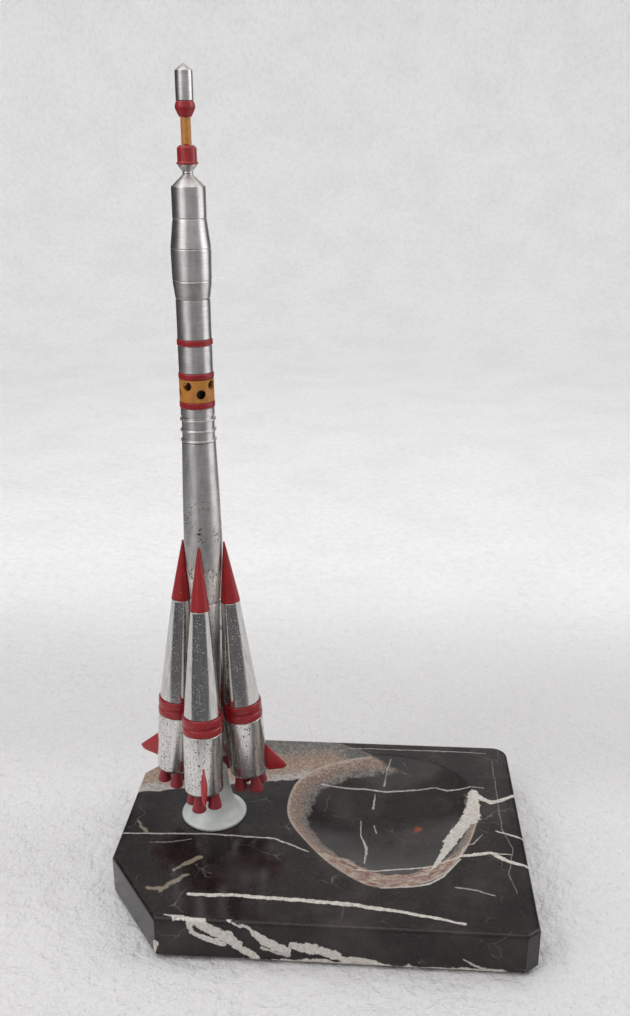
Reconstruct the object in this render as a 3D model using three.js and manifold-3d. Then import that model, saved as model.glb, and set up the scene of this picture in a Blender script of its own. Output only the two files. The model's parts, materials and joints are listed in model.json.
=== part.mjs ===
// Desk ornament: a turned aluminium model rocket on a white plastic foot, screwed to a polished
// stone slab with a shallow hollow. Millimetres, +Z up. The origin is the centre of the slab's
// outline at the height of the table, +X runs along the slab's front edge and +Y to its back.
import * as THREE from "three";
import { mergeVertices } from "three/addons/utils/BufferGeometryUtils.js";
import Module from "manifold-3d";

const wasm = await Module();
wasm.setup();

// Clearances
const slipGap = 0.2; // all round a spigot, pin or screw in its hole
const seamGap = 0.1; // between two faces that meet
const turnGap = 0.15; // under and over the pieces that turn on the slab

// Stone slab
const slabLength = 200;
const slabWidth = 147;
const slabThickness = 21.4;
const slabArris = 1.6;
const frontLeftCut = { x: 29, y: 40 };
const backLeftCut = { x: 31, y: 37 };
const frontRightCut = { x: 6, y: 5 };
const backRightRadius = 8;
const padRadius = 7;
const padHeight = 1;
const padInset = 20;

// Hollow in the slab, set by the stone left round it
const hollowDepth = 12;
const hollowToFoot = 21;
const hollowToRight = 19.4;
const hollowToFront = 26.6;
const hollowToBack = 12.3;
const hollowRim = [
  [-1, -0.05], [-0.96, 0.47], [-0.66, 0.79], [-0.1, 1], [0.45, 0.93], [0.82, 0.7], [1, 0.28],
  [0.93, -0.15], [0.75, -0.56], [0.45, -0.89], [-0.05, -1], [-0.42, -0.81], [-0.74, -0.48],
];
const hollowRings = 8;
const hollowSteps = 44;

// Where the rocket stands, and how far it has been turned by hand
const rocketFromLeft = 43.9;
const rocketFromFront = 77.5;
const rocketTurn = -3.7;

// Foot
const footRadius = 16.45;
const footRimHeight = 1.7;
const footShoulderRadius = 13;
const footShoulderHeight = 3.4;
const footTopRadius = 7.2;
const footHeight = 26.5;
const gripCount = 80;
const gripDepth = 0.3;

// Screw that holds the rocket down
const screwRadius = 2;
const screwGrip = 13; // length of screw in the core
const screwHeadRadius = 3.6;
const screwHeadHeight = 2.6;
const driveRadius = 1.5; // hexagon socket, across corners
const driveDepth = 1.6;
const washerRadius = 5;
const washerThickness = 1;
const headPocketRadius = 8;
const headPocketDepth = 9;

// Core, from the foot up: heights are above the slab
const tailBottomRadius = 5.1;
const tailWaistRadius = 5.3;
const tailWaistHeight = 68;
const tailTopRadius = 7.1;
const tailTopHeight = 120.2;
const barrelBottomHeight = 121.2;
const barrelBottomRadius = 7.15;
const barrelWidestHeight = 150;
const barrelWidestRadius = 8.95;
const barrelKnee = { below: 12, inset: 0.55 }; // where the side turns in below the widest part
const barrelTopHeight = 199;
const barrelTopRadius = 7.6;
const barrelSwell = 0.12; // how far the barrel's side stands outside a straight cone
const neckRadius = 7.3;
const neckWaistRadius = 6.9;
const ribRadius = 8;
const ribHeight = 1.1;
const ribHeights = [199.1, 203.7, 208.7];
const lipRadius = 7.55;
const lipBottomHeight = 210.7;
const spigotRadius = 4;
const spigotLength = 6;

// Coloured bands and the perforated sleeve
const lowerBand = { bottom: 214.5, top: 217.5 };
const middleBand = { bottom: 227.6, top: 230.3 };
const upperBand = { bottom: 242.1, top: 244.9 };
const bandProud = 0.35; // how far a band stands out from the stage
const sleeveProud = 0.2; // and the sleeve
const bandEdge = 0.4;
const sleeveWall = 1;
const sleeveLip = 1.2;
const sleeveHoleRadius = 2.1;
const sleeveHoleRows = [
  { height: 221.3, turn: 28.5 },
  { height: 225, turn: -19.5 },
];
const holesInRow = 4;

// Upper stage, fairing and tower
const stageRadius = 7.5;
const stageTopRadius = 7.45;
const fairingBottomHeight = 262;
const skirtTopHeight = 269.7;
const skirtTopRadius = 8.4;
const shoulderBottomHeight = 282.9;
const shoulderRadius = 8.6;
const capBottomHeight = 295;
const capRadius = 7.2;
const capTopHeight = 308.2;
const throatHeight = 312.6;
const throatRadius = 2;
const throatRing = { radius: 2.35, height: 0.5 };
const cupTopHeight = 316.3;
const cupRadius = 3.9;
const grooveDepth = 0.3;
const grooveWidth = 0.6;
const collarHeight = 7.5;
const collarRadius = 4.05;
const collarLipRadius = 4.6;
const rodRadius = 2.1;
const rodLength = 10.7;
const rodPinRadius = 1.2;
const rodPinLength = 5;
const bulbRadius = 4.15;
const bulbHeight = 6;
const spireRadius = 3.6;
const spireHeight = 11.8;
const spireTipHeight = 2.4;

// Boosters: four long cones that lean in against the core
const boosterCount = 4;
const boosterNames = ["front", "right", "rear", "left"];
const boosterFootHeight = 27.7;
const boosterGap = 4.2; // from the core to a booster's skirt, at its foot
const noseTipGap = 0.8; // from a nose's tip to the widest part of the core
const skirtRadius = 9.5;
const skirtEdge = 0.9;
const skirtHeight = 31.1;
const boosterBandHeight = 9.1;
const boosterBandProud = 0.15;
const boosterBandDip = 0.35; // depth of the groove round a band
const bandSeatDepth = 0.7;
const coneLip = 0.15; // step from the band's seat out to the cone
const coneTopHeight = 93.1;
const coneTopRadius = 4.45;
const noseLip = 0.15; // how far the nose stands out from the cone
const noseHeight = 30.2;
const noseEdge = 0.7;
const noseTipRadius = 0.35;
const nosePinRadius = 1.8;
const nosePinLength = 5;

// Fins, cut and set by hand: each booster's own reach, bottom and turn
const fins = [
  { reach: 11.2, bottom: 0.8, turn: 14.5 },
  { reach: 9.6, bottom: -0.6, turn: 7 },
  { reach: 11.2, bottom: 0.8, turn: 0 },
  { reach: 12.8, bottom: 1.3, turn: -20 },
];
const finHeight = 14.8;
const finTipHeight = 1.9;
const finThickness = 3.4;
const finBevel = 0.8;
const finTipCut = 1.3; // how far the bottom corner of the tip is cut back
const finTab = { depth: 2.2, bottom: 3, height: 9 };

// Nozzles, four to a booster
const nozzleCount = 4;
const nozzleInset = 2.4; // from a nozzle's axis to the edge of the plate
const nozzleLength = 8.9;
const nozzleMouthRadius = 3.45;
const nozzleThroatRadius = 1.9;
const nozzleWall = 0.6;
const nozzleBore = 4.5;
const nozzlePlateThickness = 1.7;
const recessWall = 1.2; // wall of the skirt round the nozzle plate
const nozzleTurns = [-12, 41, 45, 18];

// Pins from the core into each booster
const pinRadius = 1;
const pinSeat = 2.6; // length of pin in the booster
const pinStart = 3.4; // distance of the pin's inner end from the axis
const pinHeights = { lower: 46, upper: 106 };

// Facets round a turned piece
const coreFacets = 20;
const boosterFacets = 18;
const smallFacets = 12;
const nozzleFacets = 8;

const slabBottom = padHeight;
const slabTop = padHeight + slabThickness;
const rocketX = rocketFromLeft - slabLength / 2;
const rocketY = rocketFromFront - slabWidth / 2;
const coreBottom = footHeight + seamGap;
const collarBottom = cupTopHeight + seamGap;
const rodBottom = collarBottom + collarHeight;
const bulbBottom = rodBottom + rodLength;
const spireBottom = bulbBottom + bulbHeight;
const mandrelRadius = spigotRadius;
const sleeveRadius = stageRadius + sleeveProud;
const bandRadius = stageRadius + bandProud;
const boosterFootRadius = tailBottomRadius + boosterGap + skirtRadius;
const boosterLean = Math.asin(
  (boosterFootRadius - barrelWidestRadius - noseTipGap) / (coneTopHeight + noseHeight),
);
const boosterBandRadius = skirtRadius + boosterBandProud;
const boosterBandWaist = boosterBandRadius - boosterBandDip;
const bandSeatRadius = skirtRadius - bandSeatDepth;
const coneBaseRadius = bandSeatRadius + coneLip;
const noseRadius = coneTopRadius + noseLip;
const nozzlePlateRadius = skirtRadius - recessWall - slipGap;
const nozzleSpread = nozzlePlateRadius - nozzleInset;

const finish = (color, roughness, metalness) =>
  new THREE.MeshStandardMaterial({ color, roughness, metalness });
const turnedAluminium = finish(0xb9bbbd, 0.34, 1);
const polishedAluminium = finish(0xc9cbcc, 0.16, 1);
const steel = finish(0x8d9093, 0.4, 1);
const crimson = finish(0x8f1c26, 0.35, 0);
const darkRed = finish(0x7c1a24, 0.45, 0);
const ochre = finish(0xa86f2a, 0.4, 0);
const whitePlastic = finish(0xd3d6d6, 0.4, 0);
const stone = finish(0x2b2625, 0.22, 0);
const rubber = finish(0x1c1c1c, 0.9, 0);

const radians = THREE.MathUtils.degToRad;

function toSolid(geometry, matrix) {
  const bare = geometry.clone();
  bare.deleteAttribute("normal");
  bare.deleteAttribute("uv");
  if (matrix) bare.applyMatrix4(matrix);
  const merged = mergeVertices(bare, 1e-4);
  return new wasm.Manifold(
    new wasm.Mesh({
      numProp: 3,
      vertProperties: merged.attributes.position.array,
      triVerts: new Uint32Array(merged.index.array),
    }),
  );
}

function toGeometry(solid) {
  const mesh = solid.getMesh();
  const geometry = new THREE.BufferGeometry();
  geometry.setAttribute("position", new THREE.BufferAttribute(mesh.vertProperties, 3));
  geometry.setIndex(new THREE.BufferAttribute(mesh.triVerts, 1));
  geometry.computeVertexNormals();
  return geometry;
}

// A turned piece from its [radius, height] profile, walked anticlockwise from the bottom.
function turned(profile, facets = coreFacets) {
  const points = profile.map(([radius, height]) => new THREE.Vector2(radius, height));
  return new THREE.LatheGeometry(points, facets).rotateX(Math.PI / 2);
}

// A turned ring: its profile doesn't reach the axis and closes on itself.
const turnedRing = (profile, facets) => turned([...profile, profile[0]], facets);

function drum(radius, bottom, top, facets = coreFacets) {
  return turned([[0, bottom], [radius, bottom], [radius, top], [0, top]], facets);
}

function socket(radius, bottom, top, facets) {
  return toSolid(drum(radius, bottom, top, facets));
}

function addPiece(parent, name, geometry, material) {
  const mesh = new THREE.Mesh(geometry, material);
  mesh.name = name;
  parent.add(mesh);
  return mesh;
}

// ---- slab ----

function slabOutline() {
  const left = -slabLength / 2;
  const right = slabLength / 2;
  const front = -slabWidth / 2;
  const back = slabWidth / 2;
  const outline = new THREE.Shape();
  outline.moveTo(left + frontLeftCut.x, front);
  outline.lineTo(right - frontRightCut.x, front);
  outline.lineTo(right, front + frontRightCut.y);
  outline.lineTo(right, back - backRightRadius);
  outline.absarc(right - backRightRadius, back - backRightRadius, backRightRadius, 0, Math.PI / 2);
  outline.lineTo(left + backLeftCut.x, back);
  outline.lineTo(left, back - backLeftCut.y);
  outline.lineTo(left, front + frontLeftCut.y);
  return outline;
}

// The space of the hollow: rings that shrink towards the deepest point, closed above the slab.
function hollowSpace() {
  const left = rocketX + footRadius + hollowToFoot;
  const right = slabLength / 2 - hollowToRight;
  const front = -slabWidth / 2 + hollowToFront;
  const back = slabWidth / 2 - hollowToBack;
  const reach = new THREE.Vector2((right - left) / 2, (back - front) / 2);
  const centre = new THREE.Vector2((left + right) / 2, (front + back) / 2);
  const rim = new THREE.CatmullRomCurve3(
    hollowRim.map(([x, y]) => new THREE.Vector3(x * reach.x, y * reach.y, 0)),
    true,
  );
  const positions = [centre.x, centre.y, slabTop - hollowDepth];
  const addRing = (share, height) => {
    for (let step = 0; step < hollowSteps; step++) {
      const point = rim.getPoint(1 - step / hollowSteps);
      positions.push(centre.x + point.x * share, centre.y + point.y * share, height);
    }
  };
  for (let ring = 1; ring <= hollowRings; ring++) {
    const share = ring / hollowRings;
    addRing(share, slabTop - hollowDepth * (1 - share * share));
  }
  addRing(1 + slabArris / reach.x, slabTop + slabArris);
  const lid = positions.length / 3;
  positions.push(centre.x, centre.y, slabTop + slabArris);
  const faces = [];
  const at = (ring, step) => 1 + ring * hollowSteps + (step % hollowSteps);
  for (let step = 0; step < hollowSteps; step++) {
    faces.push(0, at(0, step + 1), at(0, step));
    for (let ring = 0; ring < hollowRings; ring++) {
      faces.push(at(ring, step), at(ring, step + 1), at(ring + 1, step));
      faces.push(at(ring + 1, step), at(ring, step + 1), at(ring + 1, step + 1));
    }
    faces.push(lid, at(hollowRings, step), at(hollowRings, step + 1));
  }
  const space = new THREE.BufferGeometry();
  space.setAttribute("position", new THREE.Float32BufferAttribute(positions, 3));
  space.setIndex(faces);
  return toSolid(space);
}

function slab(parent) {
  const plain = new THREE.ExtrudeGeometry(slabOutline(), {
    depth: slabThickness - 2 * slabArris,
    bevelThickness: slabArris,
    bevelSize: slabArris,
    bevelOffset: -slabArris,
    bevelSegments: 1,
    curveSegments: 6,
  });
  const atRocket = new THREE.Matrix4().makeTranslation(rocketX, rocketY, 0);
  const screwHole = drum(screwRadius + 2 * slipGap, slabBottom, slabTop + seamGap, smallFacets);
  const pocket = drum(headPocketRadius, -seamGap, slabBottom + headPocketDepth, smallFacets);
  const lift = new THREE.Matrix4().makeTranslation(0, 0, slabBottom + slabArris);
  const solid = toSolid(plain, lift)
    .subtract(hollowSpace())
    .subtract(toSolid(screwHole, atRocket))
    .subtract(toSolid(pocket, atRocket));
  addPiece(parent, "stone_slab", toGeometry(solid), stone);
}

function pads(parent) {
  const left = -slabLength / 2;
  const front = -slabWidth / 2;
  const places = {
    front_left: [left + frontLeftCut.x + padRadius, front + padInset],
    front_right: [-left - padInset, front + padInset],
    back_right: [-left - padInset, -front - padInset],
    back_left: [left + backLeftCut.x + padRadius, -front - padInset],
  };
  for (const [place, [x, y]] of Object.entries(places)) {
    const pad = drum(padRadius, 0, padHeight, smallFacets);
    addPiece(parent, `pad_${place}`, pad, rubber).position.set(x, y, 0);
  }
}

function washer(parent) {
  const top = slabBottom + headPocketDepth - seamGap;
  const bore = screwRadius + slipGap;
  const ring = [
    [bore, top - washerThickness], [washerRadius, top - washerThickness],
    [washerRadius, top], [bore, top],
  ];
  addPiece(parent, "washer", turnedRing(ring, smallFacets), steel).position.set(rocketX, rocketY, 0);
}

// ---- foot and screw, in the rocket's frame: heights above the slab ----

function clampScrew(parent) {
  const underHead = headPocketDepth - slabThickness - seamGap - washerThickness - turnGap;
  const shank = turned([
    [0, underHead - screwHeadHeight], [screwHeadRadius, underHead - screwHeadHeight],
    [screwHeadRadius, underHead], [screwRadius, underHead],
    [screwRadius, coreBottom + screwGrip], [0, coreBottom + screwGrip],
  ], smallFacets);
  const headBottom = underHead - screwHeadHeight;
  const drive = socket(driveRadius, headBottom - seamGap, headBottom + driveDepth, 6);
  addPiece(parent, "clamp_screw", toGeometry(toSolid(shank).subtract(drive)), steel);
}

function foot(parent) {
  const grip = new THREE.Shape();
  const gripPoints = 2 * gripCount;
  for (let i = 0; i < gripPoints; i++) {
    const angle = (2 * Math.PI * i) / gripPoints;
    const radius = footRadius - (i % 2) * gripDepth;
    const point = [radius * Math.cos(angle), radius * Math.sin(angle)];
    if (i === 0) grip.moveTo(...point);
    else grip.lineTo(...point);
  }
  const rim = new THREE.ExtrudeGeometry(grip, {
    depth: footRimHeight - turnGap,
    bevelEnabled: false,
  });
  const onSlab = new THREE.Matrix4().makeTranslation(0, 0, turnGap);
  const flank = new THREE.QuadraticBezierCurve(
    new THREE.Vector2(footShoulderRadius, footShoulderHeight),
    new THREE.Vector2(footTopRadius + 1.6, footShoulderHeight + 4),
    new THREE.Vector2(footTopRadius, footHeight),
  );
  const body = turned([
    [0, turnGap], [footRadius - gripDepth, turnGap], [footRadius - gripDepth, footRimHeight],
    ...flank.getPoints(8).map((point) => [point.x, point.y]),
    [0, footHeight],
  ]);
  const bore = socket(screwRadius + slipGap, -seamGap, footHeight + seamGap, smallFacets);
  const solid = toSolid(body).add(toSolid(rim, onSlab)).subtract(bore);
  addPiece(parent, "foot", toGeometry(solid), whitePlastic);
}

// ---- core ----

// The two places where a booster is pinned to the core, in the rocket's frame.
function pinSpan(level) {
  const height = pinHeights[level];
  const rise = height - boosterFootHeight;
  const axisDistance = boosterFootRadius - rise * Math.tan(boosterLean);
  const share = (height - boosterFootHeight - skirtHeight) / (coneTopHeight - skirtHeight);
  const radius = level === "lower"
    ? skirtRadius
    : THREE.MathUtils.lerp(coneBaseRadius, coneTopRadius, share);
  return { height, outerEnd: axisDistance - radius + pinSeat };
}

function pinShape(level, gap) {
  const { outerEnd } = pinSpan(level);
  const length = outerEnd - pinStart + 2 * gap;
  return new THREE.CylinderGeometry(pinRadius + gap, pinRadius + gap, length, 12);
}

function pinPlace(level) {
  const { height, outerEnd } = pinSpan(level);
  return new THREE.Matrix4().makeTranslation(0, -(pinStart + outerEnd) / 2, height);
}

const boosterTurn = (k) => new THREE.Matrix4().makeRotationZ((k * 2 * Math.PI) / boosterCount);

function coreTail(parent) {
  const body = turned([
    [0, coreBottom], [tailBottomRadius, coreBottom], [tailWaistRadius, tailWaistHeight],
    [tailTopRadius, tailTopHeight - 1], [tailTopRadius - 0.5, tailTopHeight], [0, tailTopHeight],
  ]);
  let solid = toSolid(body)
    .subtract(socket(screwRadius + slipGap, 0, coreBottom + screwGrip + 1, smallFacets))
    .subtract(socket(
      spigotRadius + slipGap, tailTopHeight - spigotLength - seamGap,
      tailTopHeight + seamGap, smallFacets,
    ));
  for (let k = 0; k < boosterCount; k++) {
    for (const level of Object.keys(pinHeights)) {
      const matrix = boosterTurn(k).multiply(pinPlace(level));
      solid = solid.subtract(toSolid(pinShape(level, slipGap), matrix));
    }
  }
  addPiece(parent, "core_tail", toGeometry(solid), turnedAluminium);
}

// A spigot of the usual size under a piece whose bottom face is at height.
const spigotUnder = (height, length = spigotLength) => [
  [0, height - length], [spigotRadius, height - length], [spigotRadius, height],
];

const socketUnder = (height, length = spigotLength) =>
  socket(spigotRadius + slipGap, height - length - seamGap, height + seamGap, smallFacets);

function coreBarrel(parent) {
  const middle = (barrelWidestHeight + barrelTopHeight) / 2;
  const middleRadius = (barrelWidestRadius + barrelTopRadius) / 2 + barrelSwell;
  const top = barrelTopHeight - seamGap;
  const body = turned([
    ...spigotUnder(tailTopHeight + seamGap),
    [tailTopRadius - 0.9, tailTopHeight + seamGap],
    [tailTopRadius - 0.9, barrelBottomHeight],
    [barrelBottomRadius, barrelBottomHeight + 0.4],
    [barrelWidestRadius - barrelKnee.inset, barrelWidestHeight - barrelKnee.below],
    [barrelWidestRadius, barrelWidestHeight], [middleRadius, middle],
    [barrelTopRadius, top], [0, top],
  ]);
  const solid = toSolid(body).subtract(socketUnder(top));
  addPiece(parent, "core_barrel", toGeometry(solid), turnedAluminium);
}

function ribbedNeck(parent) {
  const bottom = barrelTopHeight;
  const side = [];
  for (const height of ribHeights) {
    side.push([neckRadius, height - 0.05], [ribRadius, height + 0.2]);
    side.push([ribRadius, height + ribHeight - 0.2], [neckRadius, height + ribHeight]);
  }
  const ribbed = side.map(([radius, height]) => [radius, Math.max(height, bottom)]);
  const mandrelTop = middleBand.top + spigotLength;
  const body = turned([
    ...spigotUnder(bottom),
    ...ribbed,
    [neckWaistRadius, lipBottomHeight - 0.5], [neckWaistRadius, lipBottomHeight],
    [lipRadius, lipBottomHeight + 0.2], [lipRadius, lowerBand.bottom - seamGap],
    [mandrelRadius, lowerBand.bottom - seamGap], [mandrelRadius, mandrelTop], [0, mandrelTop],
  ]);
  addPiece(parent, "ribbed_neck", body, turnedAluminium);
}

// ---- bands, sleeve and stage ----

function bandRing(parent, name, { bottom, top }, lips) {
  const bore = mandrelRadius + slipGap;
  const lipRadiusOut = sleeveRadius - sleeveWall - slipGap;
  const profile = [];
  if (lips.below) profile.push([bore, bottom - sleeveLip], [lipRadiusOut, bottom - sleeveLip]);
  else profile.push([bore, bottom]);
  profile.push(
    ...(lips.below ? [[lipRadiusOut, bottom]] : []),
    [bandRadius - bandEdge, bottom], [bandRadius, bottom + bandEdge],
    [bandRadius, top - bandEdge], [bandRadius - bandEdge, top],
  );
  if (lips.above) {
    profile.push([lipRadiusOut, top], [lipRadiusOut, top + sleeveLip], [bore, top + sleeveLip]);
  } else profile.push([bore, top]);
  addPiece(parent, name, turnedRing(profile), crimson);
}

function perforatedSleeve(parent) {
  const bottom = lowerBand.top + seamGap;
  const top = middleBand.bottom - seamGap;
  const bore = sleeveRadius - sleeveWall;
  const tube = turnedRing([[bore, bottom], [sleeveRadius, bottom], [sleeveRadius, top], [bore, top]]);
  const drill = new THREE.CylinderGeometry(
    sleeveHoleRadius, sleeveHoleRadius, sleeveWall + sleeveRadius / 2, smallFacets,
  );
  let solid = toSolid(tube);
  for (const row of sleeveHoleRows) {
    for (let k = 0; k < holesInRow; k++) {
      const turn = radians(row.turn) + (2 * Math.PI * k) / holesInRow;
      const matrix = new THREE.Matrix4().makeRotationZ(turn);
      matrix.multiply(new THREE.Matrix4().makeTranslation(0, -sleeveRadius, row.height));
      solid = solid.subtract(toSolid(drill, matrix));
    }
  }
  addPiece(parent, "perforated_sleeve", toGeometry(solid), ochre);
}

function upperStage(parent) {
  const lowerBottom = middleBand.top + seamGap;
  const lowerTop = upperBand.bottom - seamGap;
  const ringSeat = upperBand.top + seamGap + spigotLength;
  const lower = toSolid(turned([
    [0, lowerBottom], [stageRadius, lowerBottom], [stageRadius, lowerTop],
    [mandrelRadius, lowerTop], [mandrelRadius, ringSeat], [0, ringSeat],
  ]));
  const pocket = socket(
    mandrelRadius + slipGap, lowerBottom - seamGap,
    middleBand.top + spigotLength + seamGap, smallFacets,
  );
  addPiece(parent, "stage_lower", toGeometry(lower.subtract(pocket)), turnedAluminium);

  const upperBottom = upperBand.top + seamGap;
  const upperTop = fairingBottomHeight - seamGap;
  const upper = toSolid(turned([
    [0, upperBottom], [stageRadius, upperBottom], [stageTopRadius, upperBottom + 3],
    [stageTopRadius, upperTop], [0, upperTop],
  ]));
  const seat = socket(
    mandrelRadius + slipGap, upperBottom - seamGap, ringSeat + seamGap, smallFacets,
  );
  const solid = upper.subtract(seat).subtract(socketUnder(upperTop));
  addPiece(parent, "stage_upper", toGeometry(solid), turnedAluminium);
}

// A scribed line round a turned piece, as profile points from below it to above it.
const scribed = (radius, height) => [
  [radius, height - grooveWidth / 2], [radius - grooveDepth, height],
  [radius, height + grooveWidth / 2],
];

function payloadFairing(parent) {
  const top = cupTopHeight;
  const solid = toSolid(turned([
    ...spigotUnder(fairingBottomHeight),
    [stageTopRadius - grooveDepth, fairingBottomHeight],
    [stageTopRadius + 0.05, fairingBottomHeight + grooveWidth],
    ...scribed(skirtTopRadius, skirtTopHeight),
    ...scribed(shoulderRadius, shoulderBottomHeight),
    ...scribed(capRadius, capBottomHeight),
    [capRadius, capTopHeight - 0.5], [capRadius - 0.5, capTopHeight],
    [throatRadius, throatHeight], [throatRing.radius, throatHeight + throatRing.height],
    [throatRadius, throatHeight + 2 * throatRing.height],
    [cupRadius, top - 0.4], [cupRadius, top], [0, top],
  ]));
  const hole = socket(
    rodPinRadius + slipGap, top - rodPinLength - seamGap, top + seamGap, smallFacets,
  );
  addPiece(parent, "payload_fairing", toGeometry(solid.subtract(hole)), turnedAluminium);
}

// ---- tower on the nose ----

function tower(parent) {
  const bore = rodPinRadius + slipGap;
  addPiece(parent, "tower_collar", turnedRing([
    [bore, collarBottom], [collarLipRadius - 0.2, collarBottom],
    [collarLipRadius, collarBottom + 0.5], [collarRadius, collarBottom + 1.2],
    [collarRadius, rodBottom - 1.1], [collarRadius - 1.1, rodBottom], [bore, rodBottom],
  ], smallFacets), crimson);

  const pinBottom = collarBottom - rodPinLength;
  const shoulder = rodBottom + seamGap;
  const shoulderTop = bulbBottom - seamGap;
  const pinTop = spireBottom + rodPinLength;
  addPiece(parent, "tower_rod", turned([
    [0, pinBottom], [rodPinRadius, pinBottom], [rodPinRadius, shoulder], [rodRadius, shoulder],
    [rodRadius, shoulderTop], [rodPinRadius, shoulderTop], [rodPinRadius, pinTop], [0, pinTop],
  ], smallFacets), ochre);

  addPiece(parent, "tower_bulb", turnedRing([
    [bore, bulbBottom], [rodRadius + 0.4, bulbBottom], [bulbRadius - 0.5, bulbBottom + 2.2],
    [bulbRadius, bulbBottom + 3.4], [bulbRadius, spireBottom - 1.8],
    [bulbRadius - 0.6, spireBottom - 0.4], [bulbRadius - 1, spireBottom], [bore, spireBottom],
  ], smallFacets), crimson);

  const bottom = spireBottom + seamGap;
  const spire = toSolid(turned([
    [0, bottom], [spireRadius, bottom], [spireRadius, spireBottom + spireHeight - 0.4],
    [spireRadius - 0.6, spireBottom + spireHeight], [0, spireBottom + spireHeight + spireTipHeight],
  ], smallFacets));
  const hole = socket(bore, bottom - seamGap, pinTop + seamGap, smallFacets);
  addPiece(parent, "tower_spire", toGeometry(spire.subtract(hole)), polishedAluminium);
}

// ---- boosters, each in its own frame: +Z up its axis, -Y away from the core ----

const boosterPlace = () =>
  new THREE.Matrix4()
    .makeTranslation(0, -boosterFootRadius, boosterFootHeight)
    .multiply(new THREE.Matrix4().makeRotationX(-boosterLean));

function finOutline({ reach, bottom }, gap) {
  const wall = skirtRadius + seamGap;
  const tabEnd = skirtRadius - finTab.depth - gap;
  const outline = new THREE.Shape();
  outline.moveTo(wall, bottom);
  outline.lineTo(wall + reach - finTipCut, bottom);
  outline.lineTo(wall + reach, bottom + finTipHeight);
  outline.lineTo(wall, bottom + finHeight);
  outline.lineTo(wall, bottom + finTab.bottom + finTab.height + gap);
  outline.lineTo(tabEnd, bottom + finTab.bottom + finTab.height + gap);
  outline.lineTo(tabEnd, bottom + finTab.bottom - gap);
  outline.lineTo(wall, bottom + finTab.bottom - gap);
  return outline;
}

// Stands the outline up: its first axis points out along -Y, its second up the booster.
function finShape(fin, gap, bevel) {
  const plate = new THREE.ExtrudeGeometry(finOutline(fin, gap), {
    depth: finThickness + 2 * gap - 2 * bevel,
    bevelEnabled: bevel > 0,
    bevelThickness: bevel,
    bevelSize: bevel,
    bevelOffset: -bevel,
    bevelSegments: 1,
  });
  plate.translate(0, 0, bevel - finThickness / 2 - gap);
  return plate.rotateX(Math.PI / 2).rotateZ(-Math.PI / 2);
}

function boosterBody(parent, name, k) {
  const seatTop = skirtHeight + boosterBandHeight;
  const solidBody = toSolid(turned([
    [0, 0], [skirtRadius - skirtEdge, 0], [skirtRadius - 0.3 * skirtEdge, 0.3 * skirtEdge],
    [skirtRadius, skirtEdge], [skirtRadius, skirtHeight],
    [bandSeatRadius, skirtHeight], [bandSeatRadius, seatTop], [coneBaseRadius, seatTop + 0.2],
    [coneTopRadius, coneTopHeight - seamGap], [0, coneTopHeight - seamGap],
  ], boosterFacets));
  const recess = socket(
    nozzlePlateRadius + slipGap, -seamGap, nozzlePlateThickness + 2 * slipGap, boosterFacets,
  );
  const noseSocket = socket(
    nosePinRadius + slipGap, coneTopHeight - nosePinLength - slipGap, coneTopHeight, smallFacets,
  );
  const slotTurn = new THREE.Matrix4().makeRotationZ(radians(fins[k].turn));
  let solid = solidBody.subtract(recess).subtract(noseSocket)
    .subtract(toSolid(finShape(fins[k], slipGap, 0), slotTurn));
  const toBooster = boosterPlace().invert();
  for (const level of Object.keys(pinHeights)) {
    const matrix = toBooster.clone().multiply(pinPlace(level));
    solid = solid.subtract(toSolid(pinShape(level, slipGap), matrix));
  }
  addPiece(parent, `${name}_booster_body`, toGeometry(solid), polishedAluminium);
}

function boosterNose(parent, name) {
  const top = coneTopHeight + noseHeight;
  const bottom = coneTopHeight + seamGap;
  addPiece(parent, `${name}_booster_nose`, turned([
    [0, coneTopHeight - nosePinLength], [nosePinRadius, coneTopHeight - nosePinLength],
    [nosePinRadius, bottom], [noseRadius, bottom], [noseRadius, bottom + noseEdge],
    [noseTipRadius, top - noseTipRadius], [0, top],
  ], smallFacets), crimson);
}

function boosterBand(parent, name) {
  const bottom = skirtHeight + seamGap;
  const top = skirtHeight + boosterBandHeight - seamGap;
  const bore = bandSeatRadius + slipGap;
  const middle = (bottom + top) / 2;
  addPiece(parent, `${name}_booster_band`, turnedRing([
    [bore, bottom], [boosterBandRadius - 0.3, bottom], [boosterBandRadius, bottom + 0.6],
    [boosterBandRadius, middle - 1.4], [boosterBandWaist, middle - 0.8],
    [boosterBandWaist, middle + 0.2], [boosterBandRadius, middle + 0.8],
    [boosterBandRadius, top - 0.8], [boosterBandRadius - 0.3, top], [bore, top],
  ], boosterFacets), crimson);
}

function nozzleCluster(parent, name, k) {
  const plateBottom = slipGap;
  const mouthBore = nozzleMouthRadius - nozzleWall;
  const bell = turned([
    [0, nozzleBore - nozzleLength], [mouthBore, -nozzleLength],
    [nozzleMouthRadius, -nozzleLength], [nozzleMouthRadius, 0.7 - nozzleLength],
    [(nozzleMouthRadius + nozzleThroatRadius) / 2, -nozzleLength / 2],
    [nozzleThroatRadius, -1.2], [nozzleThroatRadius, plateBottom + 0.5], [0, plateBottom + 0.5],
  ], nozzleFacets);
  let solid = toSolid(drum(
    nozzlePlateRadius, plateBottom, plateBottom + nozzlePlateThickness, boosterFacets,
  ));
  for (let n = 0; n < nozzleCount; n++) {
    const matrix = new THREE.Matrix4().makeRotationZ((2 * Math.PI * n) / nozzleCount);
    matrix.multiply(new THREE.Matrix4().makeTranslation(0, -nozzleSpread, 0));
    solid = solid.add(toSolid(bell, matrix));
  }
  const mesh = addPiece(parent, `${name}_nozzle_cluster`, toGeometry(solid), darkRed);
  mesh.rotation.z = radians(nozzleTurns[k]);
}

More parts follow.
